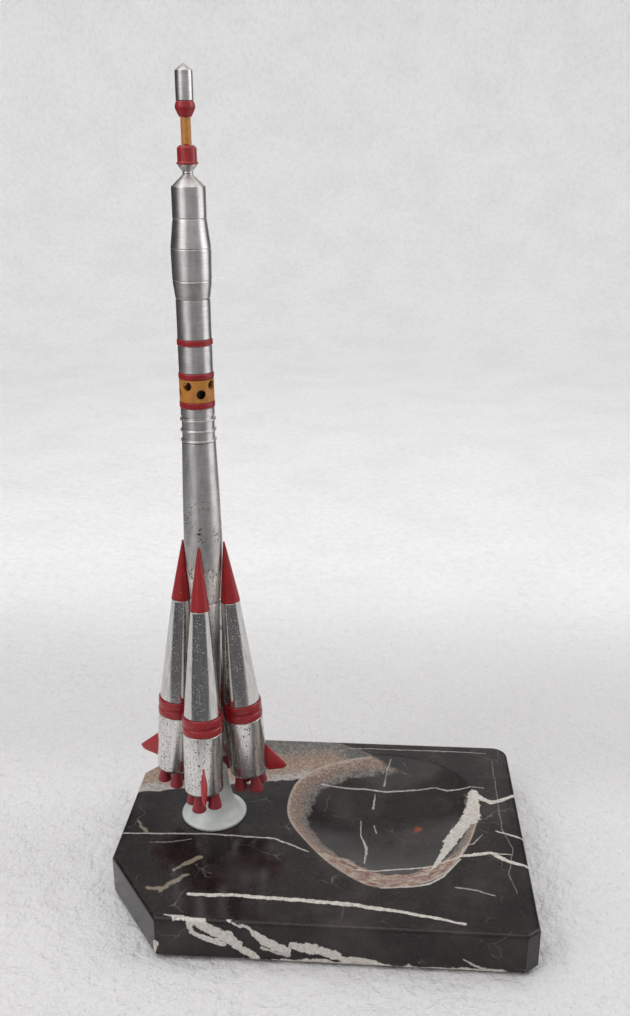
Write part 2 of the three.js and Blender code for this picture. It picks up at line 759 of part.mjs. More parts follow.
function booster(parent, k) {
  const name = boosterNames[k];
  const sector = new THREE.Group();
  sector.applyMatrix4(boosterTurn(k));
  parent.add(sector);
  const leaning = new THREE.Group();
  leaning.applyMatrix4(boosterPlace());
  sector.add(leaning);
  boosterBody(leaning, name, k);
  boosterNose(leaning, name);
  boosterBand(leaning, name);
  nozzleCluster(leaning, name, k);
  const fin = addPiece(leaning, `${name}_fin`, finShape(fins[k], 0, finBevel), crimson);
  fin.rotation.z = radians(fins[k].turn);
  for (const level of Object.keys(pinHeights)) {
    const pin = addPiece(sector, `${name}_${level}_pin`, pinShape(level, 0), steel);
    pin.applyMatrix4(pinPlace(level));
  }
}

// ---- the whole ----

const ornament = new THREE.Group();
slab(ornament);
pads(ornament);
washer(ornament);

const rocket = new THREE.Group();
rocket.position.set(rocketX, rocketY, slabTop);
rocket.rotation.z = radians(rocketTurn);
ornament.add(rocket);
clampScrew(rocket);
foot(rocket);
coreTail(rocket);
coreBarrel(rocket);
ribbedNeck(rocket);
bandRing(rocket, "lower_band", lowerBand, { above: true });
perforatedSleeve(rocket);
bandRing(rocket, "middle_band", middleBand, { below: true });
upperStage(rocket);
bandRing(rocket, "upper_band", upperBand, {});
payloadFairing(rocket);
tower(rocket);
for (let k = 0; k < boosterCount; k++) booster(rocket, k);

export default ornament;
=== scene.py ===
import json
import math

import bmesh
import bpy
import numpy as np
from mathutils import Matrix, Vector


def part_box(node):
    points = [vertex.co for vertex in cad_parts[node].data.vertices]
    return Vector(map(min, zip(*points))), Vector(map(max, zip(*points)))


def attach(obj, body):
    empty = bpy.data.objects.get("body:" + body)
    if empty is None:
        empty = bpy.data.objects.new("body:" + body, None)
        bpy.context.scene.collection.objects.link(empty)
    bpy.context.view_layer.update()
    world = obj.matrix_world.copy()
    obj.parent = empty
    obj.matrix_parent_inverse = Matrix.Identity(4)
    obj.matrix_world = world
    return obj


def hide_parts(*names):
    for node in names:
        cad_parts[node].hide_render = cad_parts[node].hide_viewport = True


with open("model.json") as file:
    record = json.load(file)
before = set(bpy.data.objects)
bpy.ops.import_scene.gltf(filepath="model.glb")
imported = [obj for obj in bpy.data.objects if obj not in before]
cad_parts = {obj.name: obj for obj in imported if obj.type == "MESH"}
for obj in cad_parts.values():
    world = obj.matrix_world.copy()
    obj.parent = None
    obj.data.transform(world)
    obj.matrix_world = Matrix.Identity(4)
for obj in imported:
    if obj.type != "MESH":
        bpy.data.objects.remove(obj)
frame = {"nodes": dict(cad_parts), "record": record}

# Shape sizes are in millimetres, heights on the rocket are above the slab, and mm turns them to metres.
mm = 0.001
scene = bpy.context.scene
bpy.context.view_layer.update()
slabLow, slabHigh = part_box("stone_slab")
footLow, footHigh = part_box("foot")
turnAxis = Vector(frame["record"]["behaviour"]["joints"][0]["pos_m"])
boosterNames = ["front", "right", "rear", "left"]


class Value:
    # one output of a material's nodes, which takes part in Python sums
    def __init__(self, shader, socket):
        self.shader = shader
        self.socket = socket

    def sum(self, operation, first, second=0.0):
        return self.shader.node("ShaderNodeMath", {"operation": operation}, {0: first, 1: second})

    def __add__(self, other):
        return self.sum("ADD", self, other)

    def __radd__(self, other):
        return self.sum("ADD", other, self)

    def __sub__(self, other):
        return self.sum("SUBTRACT", self, other)

    def __rsub__(self, other):
        return self.sum("SUBTRACT", other, self)

    def __mul__(self, other):
        return self.sum("MULTIPLY", self, other)

    def __rmul__(self, other):
        return self.sum("MULTIPLY", other, self)

    def __truediv__(self, other):
        return self.sum("DIVIDE", self, other)

    def __rtruediv__(self, other):
        return self.sum("DIVIDE", other, self)

    def least(self, other):
        return self.sum("MINIMUM", self, other)

    def most(self, other):
        return self.sum("MAXIMUM", self, other)

    def size(self):
        return self.sum("ABSOLUTE", self)

    # 0 below low, 1 above high, with a soft step between them; it falls when low is above high
    def step(self, low, high):
        settings = {"interpolation_type": "SMOOTHSTEP"}
        return self.shader.node("ShaderNodeMapRange", settings, {0: self, 1: low, 2: high})


class Shader:
    def __init__(self, name):
        self.material = bpy.data.materials.new(name)
        self.material.use_nodes = True
        self.tree = self.material.node_tree
        self.tree.nodes.clear()

    def node(self, kind, settings=None, values=None, output=0):
        made = self.tree.nodes.new(kind)
        for key, value in (settings or {}).items():
            if key == "stops":
                self.setStops(made.color_ramp, value)
            else:
                setattr(made, key, value)
        for key, value in (values or {}).items():
            if isinstance(value, Value):
                self.tree.links.new(value.socket, made.inputs[key])
            else:
                made.inputs[key].default_value = value
        return Value(self, made.outputs[output])

    def setStops(self, ramp, stops):
        ramp.elements.remove(ramp.elements[1])
        ramp.elements[0].position = stops[0][0]
        for place, _ in stops[1:]:
            ramp.elements.new(place)
        for element, (_, colour) in zip(ramp.elements, stops):
            element.color = (*colour, 1)

    def place(self):
        # the piece's own coordinates, in millimetres
        spot = self.node("ShaderNodeTexCoord", output=3)
        return self.node("ShaderNodeVectorMath", {"operation": "SCALE"}, {0: spot, "Scale": 1000.0})

    def stretch(self, vector, amounts):
        return self.node("ShaderNodeVectorMath", {"operation": "MULTIPLY"}, {0: vector, 1: amounts})

    def part(self, vector, axis):
        return self.node("ShaderNodeSeparateXYZ", {}, {0: vector}, output="XYZ".index(axis))

    def noise(self, vector, size, detail=3.0, rough=0.5):
        values = {"Vector": vector, "Scale": 1.0 / size, "Detail": detail, "Roughness": rough}
        return self.node("ShaderNodeTexNoise", {}, values)

    def blend(self, stops, value):
        return self.node("ShaderNodeValToRGB", {"stops": stops}, {0: value})

    def gap(self, vector, point):
        values = {0: vector, 1: point}
        return self.node("ShaderNodeVectorMath", {"operation": "DISTANCE"}, values, "Value")

    def bend(self, vector, size, amount, detail=4.0):
        # pushes a vector about by noise, at most half the amount each way
        values = {"Vector": vector, "Scale": 1.0 / size, "Detail": detail}
        push = self.node("ShaderNodeTexNoise", {}, values, "Color")
        push = self.node("ShaderNodeVectorMath", {"operation": "SUBTRACT"}, {0: push, 1: (0.5,) * 3})
        values = {0: push, 1: (amount,) * 3, 2: vector}
        return self.node("ShaderNodeVectorMath", {"operation": "MULTIPLY_ADD"}, values)

    def mix(self, amount, first, second):
        settings = {"data_type": "RGBA"}
        colours = [(*c, 1) if isinstance(c, tuple) else c for c in (first, second)]
        return self.node("ShaderNodeMix", settings, {0: amount, 6: colours[0], 7: colours[1]}, 2)

    def bump(self, height, distance, strength=1.0, under=None):
        values = {"Height": height, "Distance": distance * mm, "Strength": strength}
        if under:
            values["Normal"] = under
        return self.node("ShaderNodeBump", {}, values)

    def finish(self, **sockets):
        # sockets are the shader's, in words joined by underscores
        values = {key.replace("_", " "): value for key, value in sockets.items()}
        for key in ("Base Color", "Emission Color"):
            if isinstance(values.get(key), tuple):
                values[key] = (*values[key], 1)
        surface = self.node("ShaderNodeBsdfPrincipled", {}, values)
        self.endNode(surface)
        return self.material

    def endNode(self, surface):
        end = self.tree.nodes.new("ShaderNodeOutputMaterial")
        self.tree.links.new(surface.socket, end.inputs["Surface"])


turnedLook = {
    "bright": (0.71, 0.685, 0.66), "dull": (0.51, 0.49, 0.475), "pit": (0.03, 0.025, 0.02),
    "roughness": 0.36, "lineSize": 0.3, "lineDepth": 0.02, "castTop": 137.0, "castWave": 17.0,
    "pitsFrom": 152.0, "pitsTo": 176.0, "shadeTop": 122.0,
}


def turnedAluminium():
    look = turnedLook
    s = Shader("turned_aluminium")
    spot = s.place()
    height = s.part(spot, "Z")
    # lathe lines run round the piece: noise squeezed along its axis
    lines = s.noise(s.stretch(spot, (0.04, 0.04, 1.0)), look["lineSize"], 4.0, 0.65)
    bands = s.noise(s.stretch(spot, (0.015, 0.015, 1.0)), 4.0, 3.0, 0.6)
    stains = s.noise(s.stretch(spot, (1.0, 1.0, 0.3)), 3.0, 5.0, 0.6)
    # black pits gather in one stretch of the barrel and are rare elsewhere
    crowd = height.step(look["pitsFrom"] - 3, look["pitsFrom"] + 2)
    crowd = crowd * height.step(look["pitsTo"] + 3, look["pitsTo"] - 3)
    patch = s.noise(s.stretch(spot, (1.0, 1.0, 0.5)), 6.0, 3.0).step(0.47, 0.55)
    fine = s.noise(s.stretch(spot, (0.6, 0.6, 1.4)), 1.0, 3.0, 0.7)
    pits = fine.step(0.57, 0.6) * crowd * patch
    pits = pits.most(s.noise(s.stretch(spot, (0.5, 0.5, 1.0)), 1.1, 3.0, 0.7).step(0.72, 0.76))
    # the skin of the lower barrel and the tail is as cast and only polished
    wave = s.noise(s.stretch(spot, (1.0, 1.0, 0.4)), 5.0, 4.0, 0.6)
    edge = height + (wave - 0.5) * look["castWave"] * 2
    cast = edge.step(look["castTop"] + 0.7, look["castTop"] - 0.7)
    speck = s.noise(s.stretch(spot, (1.0, 1.0, 0.7)), 0.8, 3.0, 0.7).step(0.57, 0.61) * cast
    rim = (edge - look["castTop"]).size().step(1.6, 0.3) * fine.step(0.46, 0.52)
    marks = pits.most(speck * 0.85).most(rim * 0.8)
    colour = s.mix(stains.step(0.35, 0.75), look["bright"], look["dull"])
    colour = s.mix(lines.step(0.35, 0.7) * 0.35, colour, (0.27, 0.255, 0.245))
    colour = s.mix(cast * 0.9, colour, (0.74, 0.71, 0.67))
    # painted shade: the core grows dark downwards between the boosters, its strength varied by the stains
    # noise
    grimeAndShade = height.step(look["shadeTop"], look["shadeTop"] - 25) * (0.55 + stains * 0.5)
    colour = s.mix(grimeAndShade, colour, (0.13, 0.115, 0.105))
    # painted shade: the mandrel behind the holes of the pierced sleeve is darkened almost to black
    holeShade = height.step(217.3, 217.7) * height.step(227.7, 227.3)
    colour = s.mix(marks.most(holeShade * 0.93), colour, look["pit"])
    rough = look["roughness"] + (lines - 0.5) * 0.16 + (bands - 0.5) * 0.22 + marks * 0.3
    rough = rough - cast * 0.2
    relief = s.bump(lines, look["lineDepth"])
    relief = s.bump(1 - marks, 0.06, under=relief)
    return s.finish(
        Base_Color=colour, Metallic=1 - cast * 0.6, Roughness=rough, Normal=relief,
        Anisotropic=0.75, Anisotropic_Rotation=0.25,
    )


polishedLook = {
    "bright": (0.79, 0.765, 0.735), "dull": (0.58, 0.565, 0.55), "pit": (0.04, 0.035, 0.03),
    "glintTone": (0.8, 0.8, 0.82), "roughness": 0.1, "pitSize": 0.62, "skirtTop": 33.0,
}


def polishedAluminium():
    look = polishedLook
    s = Shader("polished_aluminium")
    spot = s.place()
    height = s.part(spot, "Z")
    skirt = height.step(look["skirtTop"] + 2, look["skirtTop"] - 2)
    patch = s.noise(spot, 5.0, 3.0)
    fine = s.noise(s.stretch(spot, (1.0, 1.0, 0.6)), look["pitSize"], 3.0, 0.6)
    level = 0.675 - skirt * 0.075 - (patch - 0.5) * 0.14
    pits = (fine - level).step(0.0, 0.03)
    # painted glints: small pale specks lie close together on the cones, standing in for pits that catch the
    # light
    clouds = s.noise(spot, 4.0, 3.0)
    dots = s.node("ShaderNodeTexVoronoi", {"feature": "F1"}, {"Vector": spot, "Scale": 1 / 0.9})
    paintedGlints = dots.step(0.25, 0.15) * clouds.step(0.38, 0.56) * (1 - skirt)
    streak = s.noise(s.stretch(spot, (1.0, 1.0, 0.04)), 0.9, 3.0)
    grain = s.noise(spot, 0.4, 3.0, 0.7)
    colour = s.mix(streak.step(0.35, 0.8), look["bright"], look["dull"])
    colour = s.mix(paintedGlints * 0.7, colour, look["glintTone"])
    colour = s.mix(pits * (0.7 + skirt * 0.25), colour, look["pit"])
    rough = look["roughness"] + pits * 0.3 + (streak - 0.5) * 0.06 + skirt * 0.08
    rough = rough + paintedGlints * 0.3
    relief = s.bump(grain, 0.02)
    relief = s.bump(1 - pits, 0.08, under=relief)
    return s.finish(
        Base_Color=colour, Metallic=1 - paintedGlints * 0.55, Roughness=rough, Normal=relief,
    )


# bare is the height where the paint ends at the bottom of a band, in the piece's own frame
def enamel(name, colour, dark, chip, chipShare, bare=None):
    s = Shader(name)
    spot = s.place()
    height = s.part(spot, "Z")
    tone = s.noise(spot, 2.2, 4.0, 0.6)
    brushed = s.noise(s.stretch(spot, (1.0, 1.0, 0.3)), 0.6, 3.0)
    ragged = s.noise(spot, 1.1, 4.0, 0.7)
    chips = ragged.step(chipShare, chipShare + 0.03)
    dust = s.noise(spot, 0.3, 2.0).step(0.66, 0.78)
    paint = s.mix(tone.step(0.3, 0.75), colour, dark)
    paint = s.mix(dust * 0.2, paint, (0.5, 0.3, 0.28))
    metal = 0.0
    if bare is not None:
        metal = (height - bare - ragged * 1.3).step(0.08, -0.08)
        chips = chips.most(metal)
    paint = s.mix(chips, paint, chip)
    rough = 0.32 + (tone - 0.5) * 0.25 + chips * 0.15 + dust * 0.2
    relief = s.bump(brushed, 0.03)
    relief = s.bump(1 - chips, 0.06, under=relief)
    return s.finish(
        Base_Color=paint, Metallic=metal, Roughness=rough, Normal=relief, Coat_Weight=0.08,
        Coat_Roughness=0.15,
    )


def redMoulding(name, colour, dark):
    s = Shader(name)
    spot = s.place()
    tone = s.noise(spot, 1.6, 3.0)
    grain = s.noise(spot, 0.25, 3.0, 0.7)
    tint = s.mix(tone.step(0.3, 0.8), colour, dark)
    rough = 0.38 + (grain - 0.5) * 0.2
    return s.finish(Base_Color=tint, Roughness=rough, Normal=s.bump(grain, 0.02))


def footPlastic():
    s = Shader("foot_plastic")
    spot = s.place()
    cloud = s.noise(spot, 6.0, 3.0)
    grain = s.noise(spot, 0.3, 3.0, 0.7)
    grimeAndShade = s.noise(spot, 1.4, 4.0, 0.6).step(0.6, 0.85)
    colour = s.mix(cloud.step(0.25, 0.8), (0.7, 0.73, 0.7), (0.58, 0.61, 0.59))
    colour = s.mix(grimeAndShade * 0.35, colour, (0.33, 0.33, 0.31))
    rough = 0.34 + (grain - 0.5) * 0.15 + grimeAndShade * 0.1
    return s.finish(
        Base_Color=colour, Roughness=rough, Normal=s.bump(grain, 0.015),
        Subsurface_Weight=0.25, Subsurface_Scale=0.003, Subsurface_Radius=(1.0, 1.0, 1.0),
    )


def plainSteel():
    s = Shader("plain_steel")
    spot = s.place()
    lines = s.noise(s.stretch(spot, (0.1, 0.1, 1.0)), 0.3, 3.0)
    colour = s.mix(lines, (0.36, 0.36, 0.37), (0.5, 0.5, 0.5))
    return s.finish(Base_Color=colour, Metallic=1.0, Roughness=0.3 + lines * 0.2, Normal=s.bump(lines, 0.01))


def padRubber():
    s = Shader("pad_rubber")
    grain = s.noise(s.place(), 0.3, 4.0, 0.7)
    colour = s.mix(grain, (0.012, 0.012, 0.012), (0.03, 0.03, 0.03))
    return s.finish(Base_Color=colour, Roughness=0.75 + grain * 0.15, Normal=s.bump(grain, 0.08))


# sizes of the paper backdrop in metres, its tones with painted shade on the floor and in the fold, and the
# even light of the room
studio = {
    "floor": 1.3, "bend": 0.7, "wall": 2.4, "facets": 96, "floorShadeTone": (0.76, 0.75, 0.76),
    "wallTone": (0.97, 0.97, 0.97), "foldShadeTone": (0.66, 0.65, 0.655), "skyTone": (1.0, 0.99, 0.985, 1),
    "skyLight": 0.68,
}

# Veins across the slab: points along each in millimetres from its centre, each with half the vein's
# width there, and how strongly the vein shows.
veins = {
    "left": (
        [(-112, -16.5, 0.4), (-60, -13.8, 0.5), (-32, -14.8, 0.5), (-23, -15, 0.5), (-6, -23.5, 0.35)], 0.8,
    ),
    "front": (
        [(-58, -57, 1), (-33, -56.5, 1), (-12, -57.5, 1.1), (20, -59, 1.1), (38, -62, 0.9),
         (67, -67.5, 0.6)], 1,
    ),
    "lip": ([(-67, -70.5, 0.3), (-61, -71.5, 0.8), (-53, -73, 1.3)], 0.9),
    "hollow": (
        [(-3, 37, 0.45), (20, 39, 0.4), (32, 38.5, 0.5), (59, 39.5, 0.35), (65, 36, 0.5),
         (84, 34, 0.25)], 0.7,
    ),
    "rim": (
        [(78, 29, 2.6), (77, 20, 3.4), (75, 10, 5.4), (69, 3, 3.8), (65, -5, 4), (61, -14, 2.1),
         (55, -26, 1.2)], 1,
    ),
    "corner": ([(78, 28.5, 1.6), (83, 24, 1.5), (87, 21.5, 1.2), (93, 24, 1.1), (104, 31, 0.9)], 1),
    "right": ([(87, -2, 0.3), (93, -4.5, 0.6), (104, -9, 0.6)], 0.9),
    "spray": (
        [(60, -24, 0.5), (76, -20.5, 1.1), (83, -19, 0.9), (87, -22, 1.3), (91, -25, 1),
         (104, -30, 0.7)], 1,
    ),
    "split": ([(83, -19, 0.6), (93, -20, 0.15)], 0.9),
    "inner": (
        [(15, -30.5, 0.3), (32, -25.5, 0.6), (42, -24.5, 0.6), (53, -24.5, 0.5), (60, -23.5, 0.5)], 0.9,
    ),
    "outer": ([(30, -47, 0.3), (43, -45.5, 0.5), (52, -42.5, 0.55), (59, -37, 0.6), (68, -24.5, 0.4)], 0.8),
    "wisp": ([(80, -5, 0.15), (74.5, -12.5, 0.35), (70, -14, 0.3), (68, -22, 0.6)], 0.7),
    "low": ([(64, -44.5, 0.35), (74, -46, 0.4), (82, -49, 0.25)], 0.6),
    "back": ([(10, 67, 0.3), (62, 67.5, 0.35), (88, 67, 0.2)], 0.6),
    "small": ([(-84, -22, 0.2), (-74, -21.5, 0.35), (-64, -18, 0.2)], 0.45),
    "crack": ([(91, 60, 0.15), (90, 0, 0.2), (94, -15, 0.2), (90, -34, 0.2), (92, -47, 0.15)], 0.35),
    "drop": ([(19, 16, 0.25), (19.5, 5, 0.3), (22.5, -7, 0.65), (21.5, -21, 0.25)], 0.7),
    "fall": ([(35, 59, 0.2), (32.5, 52, 0.45), (31.5, 42.5, 0.45)], 0.6),
    "dash": ([(26.5, 36, 0.2), (25.5, 26, 0.6)], 0.7),
    "tick": ([(26, 14, 0.3), (27.5, 8, 0.35)], 0.6),
}
creamPatches = {
    "near": ([(-68, -41, 0.8), (-58, -32, 1.4)], 0.6),
    "far": ([(-78, -54, 0.8), (-72, -55, 1.2), (-61, -44, 0.6)], 0.6),
    "edge": ([(-94, -5, 0.5), (-88, -14, 0.8)], 0.6),
}
# Blotches on the front face: points across it and up from the table, with half widths.
frontPatches = {
    "long": (
        [(-62, 23, 0.9), (-52, 21.5, 1.5), (-45, 18.5, 2.1), (-38, 13.5, 2.3), (-29, 6, 1.5),
         (-22, 1, 0.4)], 1,
    ),
    "loop": ([(-55, 20, 1), (-54.5, 16.5, 1.3), (-46, 12.5, 1.4), (-40, 10, 1.2)], 1),
    "middle": ([(-38, 22.5, 0.3), (-29, 19.5, 0.5), (-25, 15, 1.6), (-20, 11.5, 2.2), (-11, 8.5, 1.2)], 1),
    "under": ([(-22, 8.5, 0.6), (-17, 7.5, 0.5), (-12, 6.5, 1)], 0.8),
    "low": ([(-9.5, 11, 1.2), (-3, 10.5, 2.2), (4, 8.5, 2), (15, 5.5, 1.1), (40, 1.5, 0.5)], 1),
    "strip": (
        [(-52, 1.4, 0.4), (-20, 1.8, 0.6), (-14, 2, 1.5), (5, 1.8, 2), (38, 1.6, 1.5), (84, 1.8, 1)], 0.9,
    ),
    "end": ([(66, 8, 0.3), (74, 4, 0.8), (83, 2, 0.8)], 0.8),
    "corner": ([(-75, 1, 4.2), (-70.5, 8, 1.3)], 0.9),
}
# The tan layer in the stone: the line on top where it comes to light, and the hollow that cuts it open.
layerLook = {
    "thickness": 5.0, "outcropAt": 18.0, "outcropSlope": 0.205, "outcropWide": 41.0,
    "hollowCentre": (31.0, 7.0, 0.0), "nearHollow": 60.0, "rustSpot": (48.7, 10.5, 0.0),
}


def overVein(s, points, flat, swell):
    # how far outside a vein each spot lies, below 0 inside it
    nearest = None
    for (x, y, half), (nextX, nextY, nextHalf) in zip(points, points[1:]):
        along = Vector((nextX - x, nextY - y, 0))
        offset = s.node("ShaderNodeVectorMath", {"operation": "SUBTRACT"}, {0: flat, 1: (x, y, 0)})
        values = {0: offset, 1: along / along.length_squared}
        share = s.node("ShaderNodeVectorMath", {"operation": "DOT_PRODUCT"}, values, "Value")
        share = s.node("ShaderNodeClamp", {}, {0: share})
        foot = s.node("ShaderNodeVectorMath", {"operation": "SCALE"}, {0: along, "Scale": share})
        over = s.gap(offset, foot) - (share * (nextHalf - half) + half) * swell
        nearest = over if nearest is None else nearest.least(over)
    return nearest


def allVeins(s, group, flat, swell, shake, soft=0.16):
    mask = None
    for points, strength in group.values():
        line = (overVein(s, points, flat, swell) + shake).step(soft, -soft) * strength
        mask = line if mask is None else mask.most(line)
    return mask


def stoneLook():
    s = Shader("polished_stone")
    spot = s.place()
    bent = s.bend(spot, 6.0, 5.0, 5.0)
    x, y, z = (s.part(bent, axis) for axis in "XYZ")
    depth = slabHigh.z / mm - s.part(spot, "Z")
    ragged = s.noise(spot, 2.6, 5.0, 0.6)
    shake = (s.noise(spot, 1.1, 4.0, 0.6) - 0.5) * 0.8
    flat = s.stretch(s.bend(spot, 10.0, 2.2, 3.0), (1.0, 1.0, 0.0))
    across = s.stretch(bent, (1.0, 1.0, 0.0))
    torn = s.bend(s.bend(spot, 7.0, 5.0), 1.8, 1.6)
    upright = s.node("ShaderNodeCombineXYZ", {}, {0: s.part(torn, "X"), 1: s.part(torn, "Z"), 2: 0.0})
    frontFace = s.part(spot, "Y").step(slabLow.y / mm + 1.9, slabLow.y / mm + 1.5)
    whiteLines = allVeins(s, veins, flat, 0.2 + ragged * 1.6, shake)
    whiteLines = whiteLines * (0.4 + s.noise(spot, 2.0, 4.0, 0.7) * 0.95) * (1 - frontFace)
    cream = allVeins(s, creamPatches, across, ragged * 2.2, shake, 0.4)
    blotches = allVeins(s, frontPatches, upright, 0.45 + ragged * 1.5, shake * 1.5, 0.25) * frontFace

    # dark ground: brown clouds, grey dust, faint crackle and white specks
    clouds = s.noise(spot, 26.0, 6.0, 0.62)
    dust = s.noise(spot, 1.1, 5.0, 0.75)
    ground = s.blend(
        [(0.3, (0.006, 0.0045, 0.0043)), (0.5, (0.016, 0.0115, 0.011)), (0.72, (0.04, 0.032, 0.031))], clouds,
    )
    ground = s.mix(dust.step(0.5, 0.85) * 0.5, ground, (0.095, 0.08, 0.075))
    values = {"Vector": bent, "Scale": 1 / 24}
    crackle = s.node("ShaderNodeTexVoronoi", {"feature": "DISTANCE_TO_EDGE"}, values)
    faint = crackle.step(0.008, 0.0) * s.noise(spot, 18.0, 2.0).step(0.52, 0.64)
    specks = s.noise(spot, 0.5, 2.0, 0.7).step(0.72, 0.78)
    ground = s.mix((faint * 0.4).most(specks * 0.35), ground, (0.3, 0.28, 0.26))

    # the tan layer: bare behind a line on top, and cut open by the hollow's wall
    rough = s.noise(spot, 7.0, 5.0, 0.6)
    frontLine = layerLook["outcropAt"] + (x + 100) * layerLook["outcropSlope"]
    bare = (y - frontLine).step(-0.6, 0.6) * (y + x * 0.6).step(77.0, 73.5)
    fromHollow = s.gap(across, layerLook["hollowCentre"])
    openBack = (y + (x - 22) * 0.55 - 58).step(-4.0, 4.0) * x.step(10.0, 24.0)
    inHollow = fromHollow.step(layerLook["nearHollow"] + 1, layerLook["nearHollow"] - 1) * (1 - openBack)
    below = depth.step(0.1, 0.3) * inHollow
    nearSide = y.step(-14.0, -26.0)
    thickness = layerLook["thickness"] + (rough - 0.5) * 4 - x.step(20.0, 80.0) * 2.6 + nearSide * 1.5
    layer = bare.most(below) * (depth - thickness).step(0.4, -0.4)
    mottle = s.noise(s.stretch(bent, (1.0, 1.0, 2.0)), 2.4, 6.0, 0.72) - 0.5
    cutColour = s.blend(
        [(0.0, (0.38, 0.31, 0.265)), (0.25, (0.3, 0.2, 0.145)), (0.42, (0.17, 0.115, 0.09)),
         (0.55, (0.27, 0.2, 0.16)), (0.7, (0.16, 0.155, 0.145)), (1.0, (0.06, 0.058, 0.055))],
        depth / thickness * 0.9 + mottle * 2.4,
    )
    redCream = s.blend(
        [(0.36, (0.15, 0.055, 0.042)), (0.47, (0.27, 0.14, 0.11)), (0.54, (0.42, 0.33, 0.265)),
         (0.68, (0.52, 0.46, 0.39))],
        s.noise(s.stretch(bent, (0.6, 1.0, 1.6)), 3.0, 5.0, 0.68),
    )
    cutColour = s.mix(nearSide, cutColour, redCream)
    greyEnd = x.step(2.0, 16.0) * 0.5
    topColour = s.blend(
        [(0.0, (0.47, 0.445, 0.42)), (0.1, (0.43, 0.4, 0.37)), (0.17, (0.29, 0.2, 0.145)),
         (0.32, (0.38, 0.27, 0.2)), (0.44, (0.24, 0.16, 0.115)), (0.56, (0.28, 0.21, 0.165)),
         (0.68, (0.14, 0.135, 0.123)), (1.0, (0.08, 0.08, 0.075))],
        (y - frontLine) / layerLook["outcropWide"] + mottle * 1.3 + greyEnd,
    )
    strip = (y - frontLine + mottle * 14).step(7.0, 3.5) * (1 - x.step(-12.0, -4.0))
    topColour = s.mix(strip * 0.75, topColour, (0.43, 0.41, 0.39))
    tan = s.mix(bare * depth.step(0.6, 0.1), cutColour, topColour)
    grit = s.noise(s.stretch(spot, (1.0, 1.0, 1.5)), 1.0, 4.0, 0.7)
    tan = s.mix(grit.step(0.49, 0.4) * 0.6, tan, (0.08, 0.062, 0.052))
    tan = s.mix(grit.step(0.56, 0.64) * 0.55, tan, (0.5, 0.45, 0.4))
    tan = s.mix(depth.step(1.1, 0.3) * below * 0.45, tan, (0.5, 0.44, 0.38))

    white = s.mix(s.noise(spot, 1.5, 4.0).step(0.3, 0.8), (0.66, 0.63, 0.585), (0.45, 0.41, 0.36))
    stained = s.mix(s.noise(spot, 5.0, 4.0).step(0.5, 0.62) * z.step(4.0, 2.0), white, (0.36, 0.26, 0.17))
    colour = s.mix(layer, ground, tan)
    colour = s.mix(cream, colour, (0.34, 0.29, 0.22))
    colour = s.mix(blotches, colour, stained)
    colour = s.mix(whiteLines * (1 - bare * 0.5), colour, white)
    rust = s.gap(across, layerLook["rustSpot"])
    colour = s.mix(rust.step(3.4, 1.2) * 0.75, colour, (0.26, 0.06, 0.02))
    scratches = s.noise(s.stretch(spot, (0.06, 1.0, 1.0)), 0.5, 3.0)
    gloss = 0.15 + layer * 0.25 + whiteLines * 0.1 + dust.step(0.6, 0.9) * 0.15 + (scratches - 0.5) * 0.06
    relief = s.bump((mottle + grit * 0.5) * layer, 0.2)
    relief = s.bump(dust, 0.012, under=relief)
    return s.finish(Base_Color=colour, Roughness=gloss, Normal=relief, IOR=1.38)


def paleSurface(name):
    # a sheet of embossed paper with painted shade: a little greyer on the floor, and darkest in a band behind
    # the slab, as the shade of a fold where it would turn up
    s = Shader(name)
    spot = s.place()
    behind = s.part(spot, "Y")
    sheet = behind.step(120.0, 420.0)
    foldShade = behind.step(40.0, 110.0) * behind.step(330.0, 120.0)
    near = s.noise(s.stretch(spot, (1.0, 0.7, 1.0)), 2.0, 4.0, 0.6)
    far = s.noise(spot, 12.0, 5.0, 0.6)
    creases = s.noise(spot, 90.0, 3.0, 0.5)
    # painted shade: the floor darker than the wall, and a darker band behind the slab
    tone = s.mix(sheet, studio["floorShadeTone"], studio["wallTone"])
    tone = s.mix(foldShade * 0.8, tone, studio["foldShadeTone"])
    tone = s.mix(creases.step(0.35, 0.7) * 0.2, tone, (0.76, 0.755, 0.755))
    grain = s.mix(sheet, near, s.noise(s.stretch(spot, (1.0, 1.0, 0.6)), 7.0, 4.0, 0.7))
    tone = s.mix(grain.step(0.54, 0.38) * 0.11, tone, (0.5, 0.5, 0.5))
    relief = s.bump(near, 0.7, under=s.bump(far, 5.0, under=s.bump(creases, 8.0)))
    return s.finish(Base_Color=tone, Roughness=0.9, Normal=relief)


turned = turnedAluminium()
polished = polishedAluminium()
crimson = enamel("crimson_enamel", (0.35, 0.008, 0.01), (0.23, 0.005, 0.008), (0.4, 0.36, 0.34), 0.68)
bareMetal = (0.66, 0.64, 0.62)


def bandEnamel(name, bare):
    return enamel(name, (0.32, 0.008, 0.011), (0.21, 0.005, 0.009), bareMetal, 0.74, bare)


ochre = enamel("ochre_enamel", (0.52, 0.21, 0.03), (0.37, 0.145, 0.022), (0.1, 0.06, 0.02), 0.75)
finRed = redMoulding("fin_red", (0.38, 0.013, 0.018), (0.28, 0.01, 0.015))
nozzleRed = redMoulding("nozzle_red", (0.27, 0.012, 0.02), (0.19, 0.01, 0.018))
footWhite = footPlastic()
steel = plainSteel()
rubber = padRubber()
stone = stoneLook()
print("materials made")


